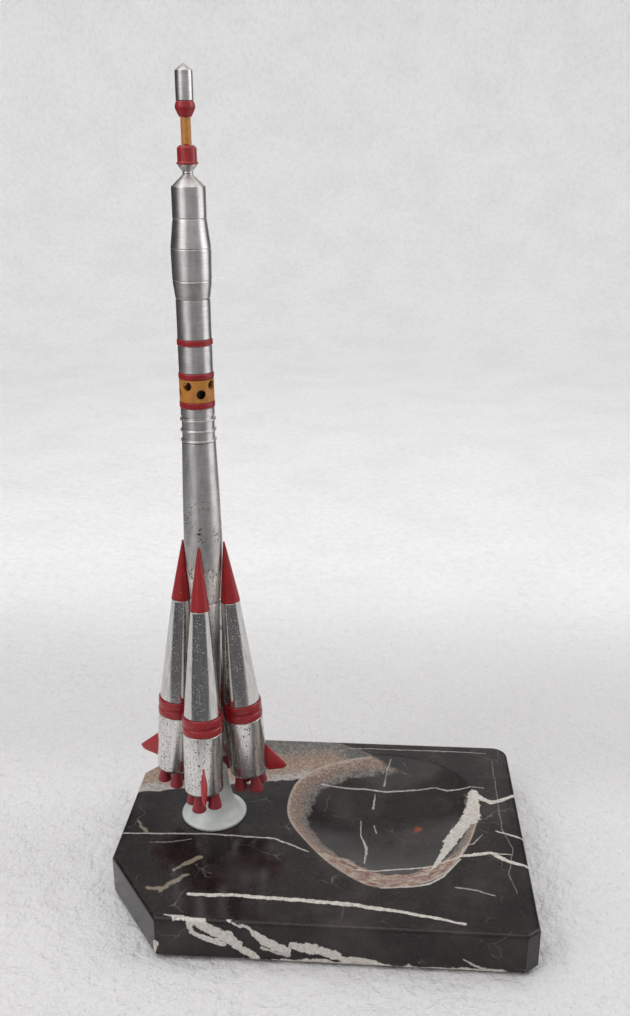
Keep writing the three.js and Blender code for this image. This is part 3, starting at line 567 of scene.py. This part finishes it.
def eased(profile, radius, closed=False):
    # turns each corner of a profile into a small curve with a support point on both sides
    points = [Vector(point) for point in profile]
    made = []
    for i, corner in enumerate(points):
        if not closed and i in (0, len(points) - 1):
            made.append(corner)
            continue
        before = points[i - 1] - corner
        after = points[(i + 1) % len(points)] - corner
        reach = min(radius, 0.38 * before.length, 0.38 * after.length)
        start = corner + before.normalized() * reach
        end = corner + after.normalized() * reach
        made.append(corner + before.normalized() * reach * 1.25)
        for t in (0, 0.25, 0.5, 0.75, 1):
            made.append(start * (1 - t) ** 2 + corner * 2 * t * (1 - t) + end * t * t)
        made.append(corner + after.normalized() * reach * 1.25)
    return [tuple(point) for point in made]


def turnInto(mesh, profile, facets, place=Matrix()):
    # spins a [radius, height] profile; one that doesn't start on the axis closes on itself
    ring = profile[0][0] > 1e-6
    rows = []
    for radius, height in profile:
        if radius < 1e-6:
            rows.append([mesh.verts.new(place @ Vector((0, 0, height * mm)))])
            continue
        angles = [2 * math.pi * k / facets for k in range(facets)]
        rows.append([
            mesh.verts.new(place @ Vector((
                radius * mm * math.cos(a), radius * mm * math.sin(a), height * mm,
            )))
            for a in angles
        ])
    pairs = list(zip(rows, rows[1:])) + ([(rows[-1], rows[0])] if ring else [])
    for low, high in pairs:
        for k in range(facets):
            n = (k + 1) % facets
            if len(low) == 1 and len(high) == 1:
                break
            if len(low) == 1:
                mesh.faces.new((low[0], high[n], high[k]))
            elif len(high) == 1:
                mesh.faces.new((low[k], low[n], high[0]))
            else:
                mesh.faces.new((low[k], low[n], high[n], high[k]))


def makeObject(name, mesh, place=None, sharp=38):
    bmesh.ops.recalc_face_normals(mesh, faces=mesh.faces[:])
    data = bpy.data.meshes.new(name)
    mesh.to_mesh(data)
    mesh.free()
    data.shade_smooth()
    data.set_sharp_from_angle(angle=math.radians(sharp))
    made = bpy.data.objects.new(name, data)
    scene.collection.objects.link(made)
    if place is not None:
        made.matrix_world = place
    return made


def turnedPiece(name, profile, place, radius=0.25, facets=128, closed=False):
    mesh = bmesh.new()
    turnInto(mesh, eased(profile, radius, closed), facets)
    return makeObject(name, mesh, place)


def cutAway(piece, cutters):
    for cutter in cutters:
        boolean = piece.modifiers.new("cut", "BOOLEAN")
        boolean.operation = "DIFFERENCE"
        boolean.solver = "EXACT"
        boolean.object = cutter
    graph = bpy.context.evaluated_depsgraph_get()
    data = bpy.data.meshes.new_from_object(piece.evaluated_get(graph))
    piece.modifiers.clear()
    piece.data = data
    for cutter in cutters:
        bpy.data.objects.remove(cutter)
    data.shade_smooth()
    data.set_sharp_from_angle(angle=math.radians(32))


def settle(piece, material, slotName, body, *nodes):
    piece.data.materials.clear()
    piece.data.materials.append(material)
    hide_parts(*nodes)
    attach(piece, body)


# corners as (along the front, along the side), and the hollow's distances from the foot and the edges
slab = {
    "frontLeft": (29, 40), "backLeft": (31, 37), "frontRight": (6, 5), "backRight": 8, "arris": 1.6,
    "toFoot": 21, "toRight": 19.4, "toFront": 26.6, "toBack": 12.3, "depth": 12, "rays": 300,
    "pocket": 8, "pocketDepth": 9, "screwHole": 2.4,
}
# the hollow's rim in a square from -1 to 1, from its left end round the back
hollowRim = [
    (-1, -0.05), (-0.96, 0.47), (-0.66, 0.79), (-0.1, 1), (0.45, 0.93), (0.82, 0.7), (1, 0.28),
    (0.93, -0.15), (0.75, -0.56), (0.45, -0.89), (-0.05, -1), (-0.42, -0.81), (-0.74, -0.48),
]


def slabOutline(inset):
    # corners of the slab, drawn in by inset, in millimetres
    left, front = slabLow.x / mm, slabLow.y / mm
    right, back = slabHigh.x / mm, slabHigh.y / mm
    cutX, cutY = slab["frontLeft"]
    backX, backY = slab["backLeft"]
    smallX, smallY = slab["frontRight"]
    bend = slab["backRight"]
    corners = [
        (left + cutX, front), (right - smallX, front), (right, front + smallY), (right, back - bend),
    ]
    for k in range(1, 8):
        angle = math.pi / 2 * k / 8
        corners.append((right - bend + bend * math.cos(angle), back - bend + bend * math.sin(angle)))
    corners += [(right - bend, back), (left + backX, back), (left, back - backY), (left, front + cutY)]
    moved = []
    for i, corner in enumerate(corners):
        here = Vector(corner)
        before = (here - Vector(corners[i - 1])).normalized()
        after = (Vector(corners[(i + 1) % len(corners)]) - here).normalized()
        inward = Vector((-before.y, before.x)) + Vector((-after.y, after.x))
        moved.append(here + inward * (inset / (1 + before.dot(after))))
    return moved


def rayReach(centre, angles, corners):
    # how far each ray from the centre runs before it meets the outline
    reach = np.full(len(angles), np.inf)
    rays = np.stack([np.cos(angles), np.sin(angles)], 1)
    for i, corner in enumerate(corners):
        start = np.array(corners[i - 1]) - centre
        along = np.array(corner) - centre - start
        cross = rays[:, 0] * along[1] - rays[:, 1] * along[0]
        cross = np.where(np.abs(cross) < 1e-9, 1e-9, cross)
        far = (start[0] * along[1] - start[1] * along[0]) / cross
        share = (start[0] * rays[:, 1] - start[1] * rays[:, 0]) / cross
        met = (far > 0) & (share > -1e-6) & (share < 1 + 1e-6)
        reach = np.where(met & (far < reach), far, reach)
    return reach


def closedCurve(points, steps):
    # a smooth curve through the points and back to the first
    count = len(points)
    made = []
    for i in range(count):
        a, b, c, d = (np.array(points[(i + k) % count], float) for k in (-1, 0, 1, 2))
        for t in np.arange(steps) / steps:
            made.append(
                0.5 * (2 * b + (c - a) * t + (2 * a - 5 * b + 4 * c - d) * t ** 2
                       + (3 * b - a - 3 * c + d) * t ** 3)
            )
    return np.array(made)


def makeSlab():
    top, bottom = slabHigh.z / mm, slabLow.z / mm
    left = footHigh.x / mm + slab["toFoot"]
    right = slabHigh.x / mm - slab["toRight"]
    front = slabLow.y / mm + slab["toFront"]
    back = slabHigh.y / mm - slab["toBack"]
    centre = np.array(((left + right) / 2, (front + back) / 2))
    size = np.array(((right - left) / 2, (back - front) / 2))
    outer = np.array(slabOutline(0))
    corners = np.arctan2(outer[:, 1] - centre[1], outer[:, 0] - centre[0])
    even = np.linspace(-math.pi, math.pi, slab["rays"], endpoint=False)
    angles = np.unique(np.round(np.concatenate([even, corners]) % (2 * math.pi), 5))
    curve = closedCurve(hollowRim, 24) * size
    turn = np.arctan2(curve[:, 1], curve[:, 0]) % (2 * math.pi)
    order = np.argsort(turn)
    rim = np.interp(angles, turn[order], np.hypot(*curve.T)[order], period=2 * math.pi)
    edge = {inset: rayReach(centre, angles, slabOutline(inset)) for inset in (0, slab["arris"])}
    arris, lip = slab["arris"], 0.03
    rows = []
    for share in list(np.linspace(0.05, 0.95, 26)) + [0.975]:
        rows.append((rim * share, top - slab["depth"] * (1 - share ** 2)))
    rows += [(rim * (1 - lip / 3), top - 0.22), (rim, top - 0.09), (rim * (1 + lip / 3), top - 0.02)]
    for share in (lip / 1.2, 0.25, 0.5, 0.75, 0.97, 1):
        inner = rim * (1 + lip / 2)
        rows.append((inner + (edge[arris] - inner) * share, top))
    for k in range(1, 6):
        angle = math.pi / 2 * k / 6
        out = edge[arris] + (edge[0] - edge[arris]) * math.sin(angle)
        rows.append((out, top - arris * (1 - math.cos(angle))))
    rows += [(edge[0], top - arris), (edge[0], top - arris - 0.6), (edge[0], bottom + arris)]
    rows += [(edge[arris], bottom), (edge[arris] * 0.97, bottom), (edge[arris] * 0.5, bottom)]
    mesh = bmesh.new()
    first = mesh.verts.new(Vector((*centre, top - slab["depth"])) * mm)
    loops = []
    for reach, height in rows:
        xs = centre[0] + reach * np.cos(angles)
        ys = centre[1] + reach * np.sin(angles)
        loops.append([mesh.verts.new(Vector((x, y, height)) * mm) for x, y in zip(xs, ys)])
    last = mesh.verts.new(Vector((*centre, bottom)) * mm)
    count = len(angles)
    for k in range(count):
        n = (k + 1) % count
        mesh.faces.new((first, loops[0][k], loops[0][n]))
        for low, high in zip(loops, loops[1:]):
            mesh.faces.new((low[k], high[k], high[n], low[n]))
        mesh.faces.new((last, loops[-1][n], loops[-1][k]))
    piece = makeObject("marble_block", mesh)
    cutters = []
    for radius, height in ((slab["pocket"], bottom + slab["pocketDepth"]), (slab["screwHole"], top + 1)):
        cutter = bmesh.new()
        turnInto(cutter, [(0, bottom - 1), (radius, bottom - 1), (radius, height), (0, height)], 48)
        place = Matrix.Translation((turnAxis.x, turnAxis.y, 0))
        cutters.append(makeObject("cutter", cutter, place))
    cutAway(piece, cutters)
    settle(piece, stone, "stone", "base", "stone_slab")


makeSlab()
print("slab made")


rocketTurn = -3.7
rocketPlace = (
    Matrix.Translation((turnAxis.x, turnAxis.y, slabHigh.z))
    @ Matrix.Rotation(math.radians(rocketTurn), 4, "Z")
)
foot = {
    "radius": 16.45, "rimHeight": 1.7, "shoulder": 13, "shoulderHeight": 3.4, "top": 7.2,
    "height": 26.5, "grips": 72, "gripDepth": 0.6, "lift": 0.15, "step": 0.45,
}


def makeFoot():
    f = foot
    side = []
    for k in range(15):
        t = k / 14
        radius = (1 - t) ** 2 * f["shoulder"] + 2 * t * (1 - t) * (f["top"] + 1.6) + t * t * f["top"]
        height = (
            (1 - t) ** 2 * f["shoulderHeight"] + 2 * t * (1 - t) * (f["shoulderHeight"] + 4)
            + t * t * f["height"]
        )
        side.append((radius, height))
    body = f["radius"] - f["gripDepth"]
    ledge = [(f["shoulder"] + 0.25, f["shoulderHeight"] - f["step"])]
    profile = [(0, f["lift"]), (body, f["lift"]), (body, f["rimHeight"])] + ledge + side
    profile.append((0, f["height"]))
    mesh = bmesh.new()
    facets = f["grips"] * 4
    turnInto(mesh, eased(profile, 0.35), facets)
    # the grip: the rim's wall swells out between its grooves
    for vertex in mesh.verts:
        radius = math.hypot(vertex.co.x, vertex.co.y) / mm
        if radius > body - 0.4 and vertex.co.z / mm < f["rimHeight"] + 0.1:
            angle = math.atan2(vertex.co.y, vertex.co.x)
            swell = f["gripDepth"] * abs(math.cos(angle * f["grips"] / 2))
            low = min(1, (f["rimHeight"] + 0.1 - vertex.co.z / mm) / 0.35)
            scale = 1 + swell * low * min(1, (radius - body + 0.4) / 0.4) / radius
            vertex.co.x *= scale
            vertex.co.y *= scale
    piece = makeObject("grip_foot", mesh, rocketPlace, sharp=60)
    settle(piece, footWhite, "foot_plastic", "rocket", "foot")


makeFoot()
print("foot made")

# Turned pieces of the core: profile, finish, and the CAD nodes they stand for.
spigot = 4


def scribed(radius, height, depth=0.3, half=0.3):
    return [(radius, height - half), (radius - depth, height), (radius, height + half)]


def ribbedProfile():
    profile = [(0, 193), (spigot, 193), (spigot, 199)]
    for height in (199.1, 203.7, 208.7):
        profile += [(7.3, height), (8, height + 0.2), (8, height + 0.9), (7.3, height + 1.1)]
    return profile + [(6.9, 210.1), (6.9, 210.7), (7.55, 210.9), (7.55, 214.4), (spigot, 214.4),
                      (spigot, 236.3), (0, 236.3)]


def bandProfile(bottom, top, below=False, above=False):
    lip, bore, out, edge = 6.5, spigot + 0.2, 7.85, 0.4
    profile = [(bore, bottom - 1.2), (lip, bottom - 1.2), (lip, bottom)] if below else [(bore, bottom)]
    profile += [(out - edge, bottom), (out, bottom + edge), (out, top - edge), (out - edge, top)]
    profile += [(lip, top), (lip, top + 1.2), (bore, top + 1.2)] if above else [(bore, top)]
    return profile


barrel = [
    (0, 114.3), (spigot, 114.3), (spigot, 120.3), (6.5, 120.3), (6.5, 121), (7.15, 121.5),
    (8.4, 138), (8.95, 150), (8.4, 174.5), (7.6, 198.9), (0, 198.9),
]
fairing = [
    (0, 256), (spigot, 256), (spigot, 262), (7.15, 262), (7.5, 262.6),
    *scribed(8.4, 269.7), *scribed(8.6, 282.9), *scribed(7.2, 295),
    (7.2, 307.7), (6.7, 308.2), (2, 312.6), (2.35, 313.1), (2, 313.6), (3.9, 315.9), (3.9, 316.3),
    (0, 316.3),
]
lowEnamel = bandEnamel("low_enamel", 214.1)
midEnamel = bandEnamel("mid_enamel", 226.9)
topEnamel = bandEnamel("top_enamel", 241.7)
coreParts = {
    "tail_core": (
        [(0, 26.6), (5.1, 26.6), (5.3, 68), (7.1, 119.2), (6.6, 120.2), (0, 120.2)],
        turned, "core_metal", "core_tail",
    ),
    "tapered_core": (barrel, turned, "core_metal", "core_barrel"),
    "ribbed_joint": (ribbedProfile(), turned, "core_metal", "ribbed_neck"),
    "low_ring": (bandProfile(214.5, 217.5, above=True), lowEnamel, "red_enamel", "lower_band"),
    "mid_ring": (bandProfile(227.6, 230.3, below=True), midEnamel, "red_enamel", "middle_band"),
    "top_ring": (bandProfile(242.1, 244.9), topEnamel, "red_enamel", "upper_band"),
    "stage_drum": (
        [(0, 230.4), (7.5, 230.4), (7.5, 242), (spigot, 242), (spigot, 251), (0, 251)],
        turned, "core_metal", "stage_lower",
    ),
    "stage_sleeve": (
        [(0, 245), (7.5, 245), (7.45, 248), (7.45, 261.9), (0, 261.9)],
        turned, "core_metal", "stage_upper",
    ),
    "nose_fairing": (fairing, turned, "core_metal", "payload_fairing"),
    "mast_collar": (
        [(1.4, 316.4), (4.4, 316.4), (4.6, 316.9), (4.05, 317.6), (4.05, 322.8), (2.95, 323.9),
         (1.4, 323.9)],
        crimson, "red_enamel", "tower_collar",
    ),
    "mast_rod": (
        [(0, 312), (1.2, 312), (1.2, 324), (2.1, 324), (2.1, 334.5), (1.2, 334.5), (1.2, 345.6),
         (0, 345.6)],
        ochre, "ochre_enamel", "tower_rod",
    ),
    "mast_bulb": (
        [(1.4, 334.6), (2.5, 334.6), (3.65, 336.8), (4.15, 338), (4.15, 338.8), (3.75, 340.2),
         (3.5, 340.6), (1.4, 340.6)],
        crimson, "red_enamel", "tower_bulb",
    ),
    "mast_spire": (
        [(0, 340.7), (3.6, 340.7), (3.6, 352), (3.0, 352.4), (0, 354.8)],
        turned, "bright_metal", "tower_spire",
    ),
}
for name, (profile, material, slotName, node) in coreParts.items():
    isRing = profile[0][0] > 0
    piece = turnedPiece(name, profile, rocketPlace, 0.22, 128, isRing)
    settle(piece, material, slotName, "rocket", node)


sleeve = {
    "bottom": 217.6, "top": 227.5, "radius": 7.7, "wall": 1, "holeRadius": 2.1,
    "holes": ((221.3, 28.5), (225, -19.5)),
}


def makeSleeve():
    # two rings of four holes each: how high they are, and how far the first is turned from the front
    bottom, top, outside = sleeve["bottom"], sleeve["top"], sleeve["radius"]
    rows = [bottom + (top - bottom) * k / 24 for k in range(25)]
    mesh = bmesh.new()
    profile = [(outside, z) for z in rows] + [(outside - sleeve["wall"], z) for z in reversed(rows)]
    turnInto(mesh, profile, 160)
    piece = makeObject("port_sleeve", mesh)
    cutters = []
    for height, turn in sleeve["holes"]:
        for k in range(4):
            angle = math.radians(turn + 90 * k)
            drill = bmesh.new()
            turnInto(drill, [(0, -3), (sleeve["holeRadius"], -3), (sleeve["holeRadius"], 3), (0, 3)], 40)
            place = (
                Matrix.Rotation(angle, 4, "Z") @ Matrix.Translation((0, -outside * mm, height * mm))
                @ Matrix.Rotation(math.pi / 2, 4, "X")
            )
            cutters.append(makeObject("drill", drill, place))
    cutAway(piece, cutters)
    piece.matrix_world = rocketPlace
    settle(piece, ochre, "ochre_enamel", "rocket", "perforated_sleeve")


makeSleeve()
print("core made")


booster = {
    "footRadius": 18.8, "footHeight": 27.7, "length": 123.3, "tipRadius": 9.75,
    "nozzleTurns": (-12, 41, 45, 18),
}
boosterBody = [
    (0, 1.9), (8.1, 1.9), (8.1, 0.3), (8.5, 0), (9.0, 0), (9.42, 0.45), (9.5, 1.1), (9.5, 31.1),
    (8.8, 31.1), (8.8, 40.2), (8.95, 40.4), (4.47, 92.5), (4.68, 92.6), (4.68, 93.0), (0, 93.0),
]
boosterNose = [
    (0, 88.1), (1.8, 88.1), (1.8, 93.15), (4.55, 93.15), (4.6, 93.4), (4.5, 94.2), (0.42, 122.7),
    (0, 123.3),
]
boosterBand = [
    (9.0, 31.2), (9.4, 31.2), (9.65, 31.8), (9.65, 34.25), (9.3, 34.85), (9.3, 35.85), (9.65, 36.45),
    (9.65, 39.3), (9.35, 40.1), (9.0, 40.1),
]
bell = [
    (0, -4.4), (0.9, -4.6), (2.85, -8.9), (3.45, -8.9), (3.4, -8.0), (2.55, -4.5), (1.95, -1.5),
    (1.9, 0.6), (0, 0.6),
]
# fins: how far each reaches from the skirt, its bottom on the booster, and its turn
fin = {"wall": 9.55, "height": 14.8, "tipHeight": 1.9, "tipCut": 1.3, "thickness": 3.4}
finSets = [(11.2, 0.8, 14.5), (9.6, -0.6, 7), (11.2, 0.8, 0), (12.8, 1.3, -20)]


def makeFin(name, place, reach, bottom):
    # a blade in rows from its bottom to its top; it is thickest low at the root and thins to both ends
    f = fin
    mesh = bmesh.new()
    rows, across = 22, 7
    loops = []
    for i in range(rows + 1):
        up = f["height"] * i / rows
        far = reach * min(1, (f["height"] - up) / (f["height"] - f["tipHeight"]))
        if up < f["tipHeight"]:
            far = reach - f["tipCut"] * (1 - up / f["tipHeight"])
        share = up / f["height"]
        full = f["thickness"] / 2 * (0.34 + 0.66 * math.sin(math.pi * min(1, share + 0.2)) ** 0.8)
        far = max(far, 0.5)
        side = []
        for j in range(across + 1):
            out = far * j / across
            thin = 1 - 0.55 * (out / reach)
            edge = math.sqrt(max(0, 1 - (j / across) ** 6))
            side.append((out, full * thin * edge))
        ring = [(-half, out) for out, half in side] + [(half, out) for out, half in reversed(side[:-1])]
        inset = 0.35 if i in (0, rows) else 0
        loops.append([
            mesh.verts.new(Vector((
                x * (1 - inset), -(f["wall"] + max(0, out - inset)), bottom + up,
            )) * mm)
            for x, out in ring
        ])
    for low, high in zip(loops, loops[1:]):
        for k in range(len(low)):
            n = (k + 1) % len(low)
            mesh.faces.new((low[k], low[n], high[n], high[k]))
    mesh.faces.new(loops[0])
    mesh.faces.new(loops[-1])
    return makeObject(name, mesh, place, sharp=50)


def makeNozzles(name, place):
    mesh = bmesh.new()
    turnInto(mesh, eased([(0, 0.2), (8.1, 0.2), (8.1, 1.9), (0, 1.9)], 0.2), 72)
    for k in range(4):
        spread = Matrix.Rotation(math.pi / 2 * k, 4, "Z") @ Matrix.Translation((0, -5.7 * mm, 0))
        turnInto(mesh, eased(bell, 0.22), 48, spread)
    return makeObject(name, mesh, place)


boosterRed = bandEnamel("booster_enamel", 30.7)


def makeBooster(k):
    name = boosterNames[k]
    lean = math.asin((booster["footRadius"] - booster["tipRadius"]) / booster["length"])
    place = (
        rocketPlace @ Matrix.Rotation(math.pi / 2 * k, 4, "Z")
        @ Matrix.Translation((0, -booster["footRadius"] * mm, booster["footHeight"] * mm))
        @ Matrix.Rotation(-lean, 4, "X")
    )
    reach, bottom, finTurn = finSets[k]
    finPlace = place @ Matrix.Rotation(math.radians(finTurn), 4, "Z")
    nozzlePlace = place @ Matrix.Rotation(math.radians(booster["nozzleTurns"][k]), 4, "Z")
    body = turnedPiece(f"{name}_cone", boosterBody, place, 0.3)
    settle(body, polished, "bright_metal", "rocket", f"{name}_booster_body")
    nose = turnedPiece(f"{name}_nose", boosterNose, place, 0.2, 96)
    settle(nose, crimson, "red_enamel", "rocket", f"{name}_booster_nose")
    band = turnedPiece(f"{name}_ring", boosterBand, place, 0.3, 128, True)
    settle(band, boosterRed, "red_enamel", "rocket", f"{name}_booster_band")
    blade = makeFin(f"{name}_blade", finPlace, reach, bottom)
    settle(blade, finRed, "red_plastic", "rocket", f"{name}_fin")
    nozzles = makeNozzles(f"{name}_nozzles", nozzlePlace)
    settle(nozzles, nozzleRed, "red_plastic", "rocket", f"{name}_nozzle_cluster")


for k in range(len(boosterNames)):
    makeBooster(k)
print("boosters made")

# CAD pieces that stay as they are
kept = {"washer": steel, "clamp_screw": steel}
for name in boosterNames:
    kept[f"{name}_lower_pin"] = kept[f"{name}_upper_pin"] = steel
for corner in ("front_left", "front_right", "back_left", "back_right"):
    kept[f"pad_{corner}"] = rubber
for node, material in kept.items():
    for slot in frame["nodes"][node].material_slots:
        slot.material = material


# place in millimetres, turns in degrees
cameraView = {
    "place": (25.6, -427.1, 344.1), "yaw": -4.116, "pitch": -19.485, "roll": 0.198,
    "lens": 35.58, "shift": (0.0034, -0.0024),
}


def makeStudio():
    # a round floor that curves up into a pale wall
    mesh = bmesh.new()
    profile = [(0, 0), (studio["floor"] / 2, 0), (studio["floor"], 0)]
    for k in range(1, 13):
        angle = math.pi / 2 * k / 12
        profile.append((
            studio["floor"] + studio["bend"] * math.sin(angle), studio["bend"] * (1 - math.cos(angle)),
        ))
    profile.append((studio["floor"] + studio["bend"], studio["wall"]))
    rows = []
    facets = studio["facets"]
    angles = [2 * math.pi * j / facets for j in range(facets)]
    for radius, height in profile:
        rows.append([
            mesh.verts.new((radius * math.cos(a), radius * math.sin(a), height))
            for a in (angles if radius else angles[:1])
        ])
    for low, high in zip(rows, rows[1:]):
        for j in range(facets):
            n = (j + 1) % facets
            if len(low) == 1:
                mesh.faces.new((low[0], high[j], high[n]))
            else:
                mesh.faces.new((low[j], high[j], high[n], low[n]))
    floor = makeObject("studio_floor", mesh, sharp=180)
    floor.data.materials.append(paleSurface("pale_paper"))


# What the metal mirrors past the paper: a dark room all round the front, with pale gaps and windows.
# The angles run from straight ahead to the right, in degrees.
mirrorRoom = {
    "paperEdge": 0.18, "wall": 1.3, "sill": 0.13, "top": 1.1, "reach": 165,
    "paper": 0.6, "paperFront": 195.0, "paperReach": 620.0,
    "low": [
        (-165, 0.4), (-150, 0.045), (-88, 0.045), (-60, 0.045), (-20, 0.09), (70, 0.09), (80, 0.7),
        (118, 0.7), (128, 0.06), (155, 0.06), (165, 0.5),
    ],
    "high": [
        (-165, 0.4), (-150, 0.06), (-75, 0.06), (-58, 0.5), (-45, 1.6), (-24, 1.6), (-10, 0.6), (68, 0.5),
        (84, 1.9), (110, 1.9), (126, 0.12), (155, 0.12), (165, 0.5),
    ],
}


def makeMirrorRoom():
    room = mirrorRoom
    profile = [
        (room["paperEdge"], 0.003), (0.8, 0.003), (room["wall"], 0.003), (room["wall"], room["sill"]),
        (room["wall"], room["top"]),
    ]
    angles = [math.radians(a) for a in range(-room["reach"], room["reach"] + 1, 5)]
    mesh = bmesh.new()
    rows = [[mesh.verts.new((r * math.sin(a), -r * math.cos(a), z)) for a in angles] for r, z in profile]
    for low, high in zip(rows, rows[1:]):
        for k in range(len(angles) - 1):
            mesh.faces.new((low[k], low[k + 1], high[k + 1], high[k]))
    walls = makeObject("mirror_room", mesh, Matrix.Translation((turnAxis.x, turnAxis.y, 0)))
    s = Shader("dark_room")
    spot = s.place()
    across, ahead = s.part(spot, "X"), s.part(spot, "Y") * -1
    angle = across.sum("ARCTAN2", across, ahead) * (0.5 / math.pi) + 0.5
    levels = []
    for stops in (room["low"], room["high"]):
        ramp = [((a + 180) / 360, (level, level, level * 1.05)) for a, level in stops]
        levels.append(s.node("ShaderNodeValToRGB", {"stops": ramp}, {0: angle}))
    # the paper on the table ends in a straight edge in front of the rocket
    far = s.gap(s.stretch(spot, (1.0, 1.0, 0.0)), (0.0, 0.0, 0.0))
    paper = ahead.step(room["paperFront"] + 20, room["paperFront"] - 20)
    paper = paper * far.step(room["paperReach"] + 60, room["paperReach"] - 60)
    levels[0] = s.mix(paper, levels[0], (room["paper"],) * 3)
    above = s.part(spot, "Z").step(room["sill"] / mm - 30, room["sill"] / mm + 60)
    glow = s.mix(above, *levels)
    walls.data.materials.append(
        s.finish(Base_Color=(0, 0, 0), Roughness=1.0, Emission_Color=glow, Emission_Strength=1.0)
    )
    walls.visible_camera = False
    walls.visible_diffuse = False
    walls.visible_shadow = False


# area lamps: watts, size, place and what each points at, in metres
lamps = {
    "overhead": (8, (1.6, 1.6), (-0.2, -0.1, 1.7), (0, 0, 0)),
    "window": (7, (0.7, 1.2), (-1.1, -0.7, 1.1), (0, 0, 0.1)),
    "far_window": (4, (0.6, 1.0), (1.15, 0.2, 1.0), (0, 0, 0.1)),
}


def makeLamp(name, power, size, place, target):
    lamp = bpy.data.lights.new(name, "AREA")
    lamp.energy = power
    lamp.shape = "RECTANGLE"
    lamp.size, lamp.size_y = size
    made = bpy.data.objects.new(name, lamp)
    scene.collection.objects.link(made)
    made.location = place
    made.rotation_euler = (Vector(target) - Vector(place)).to_track_quat("-Z", "Y").to_euler()


def makeCamera():
    yaw, pitch = math.radians(cameraView["yaw"]), math.radians(cameraView["pitch"])
    forward = Vector((math.sin(yaw) * math.cos(pitch), math.cos(yaw) * math.cos(pitch), math.sin(pitch)))
    turn = forward.to_track_quat("-Z", "Y").to_matrix().to_4x4()
    data = bpy.data.cameras.new("camera")
    data.lens = cameraView["lens"]
    data.sensor_width = 36
    data.shift_x, data.shift_y = cameraView["shift"]
    data.clip_start = 0.01
    camera = bpy.data.objects.new("camera", data)
    scene.collection.objects.link(camera)
    roll = Matrix.Rotation(math.radians(-cameraView["roll"]), 4, "Z")
    camera.matrix_world = Matrix.Translation(Vector(cameraView["place"]) * mm) @ turn @ roll
    scene.camera = camera


makeStudio()
makeMirrorRoom()
for name, settings in lamps.items():
    makeLamp(name, *settings)
makeCamera()
world = bpy.data.worlds.new("room")
scene.world = world
world.use_nodes = True
sky = world.node_tree.nodes["Background"].inputs
sky["Color"].default_value = studio["skyTone"]
sky["Strength"].default_value = studio["skyLight"]
scene.view_settings.view_transform = "Standard"
print("studio made")
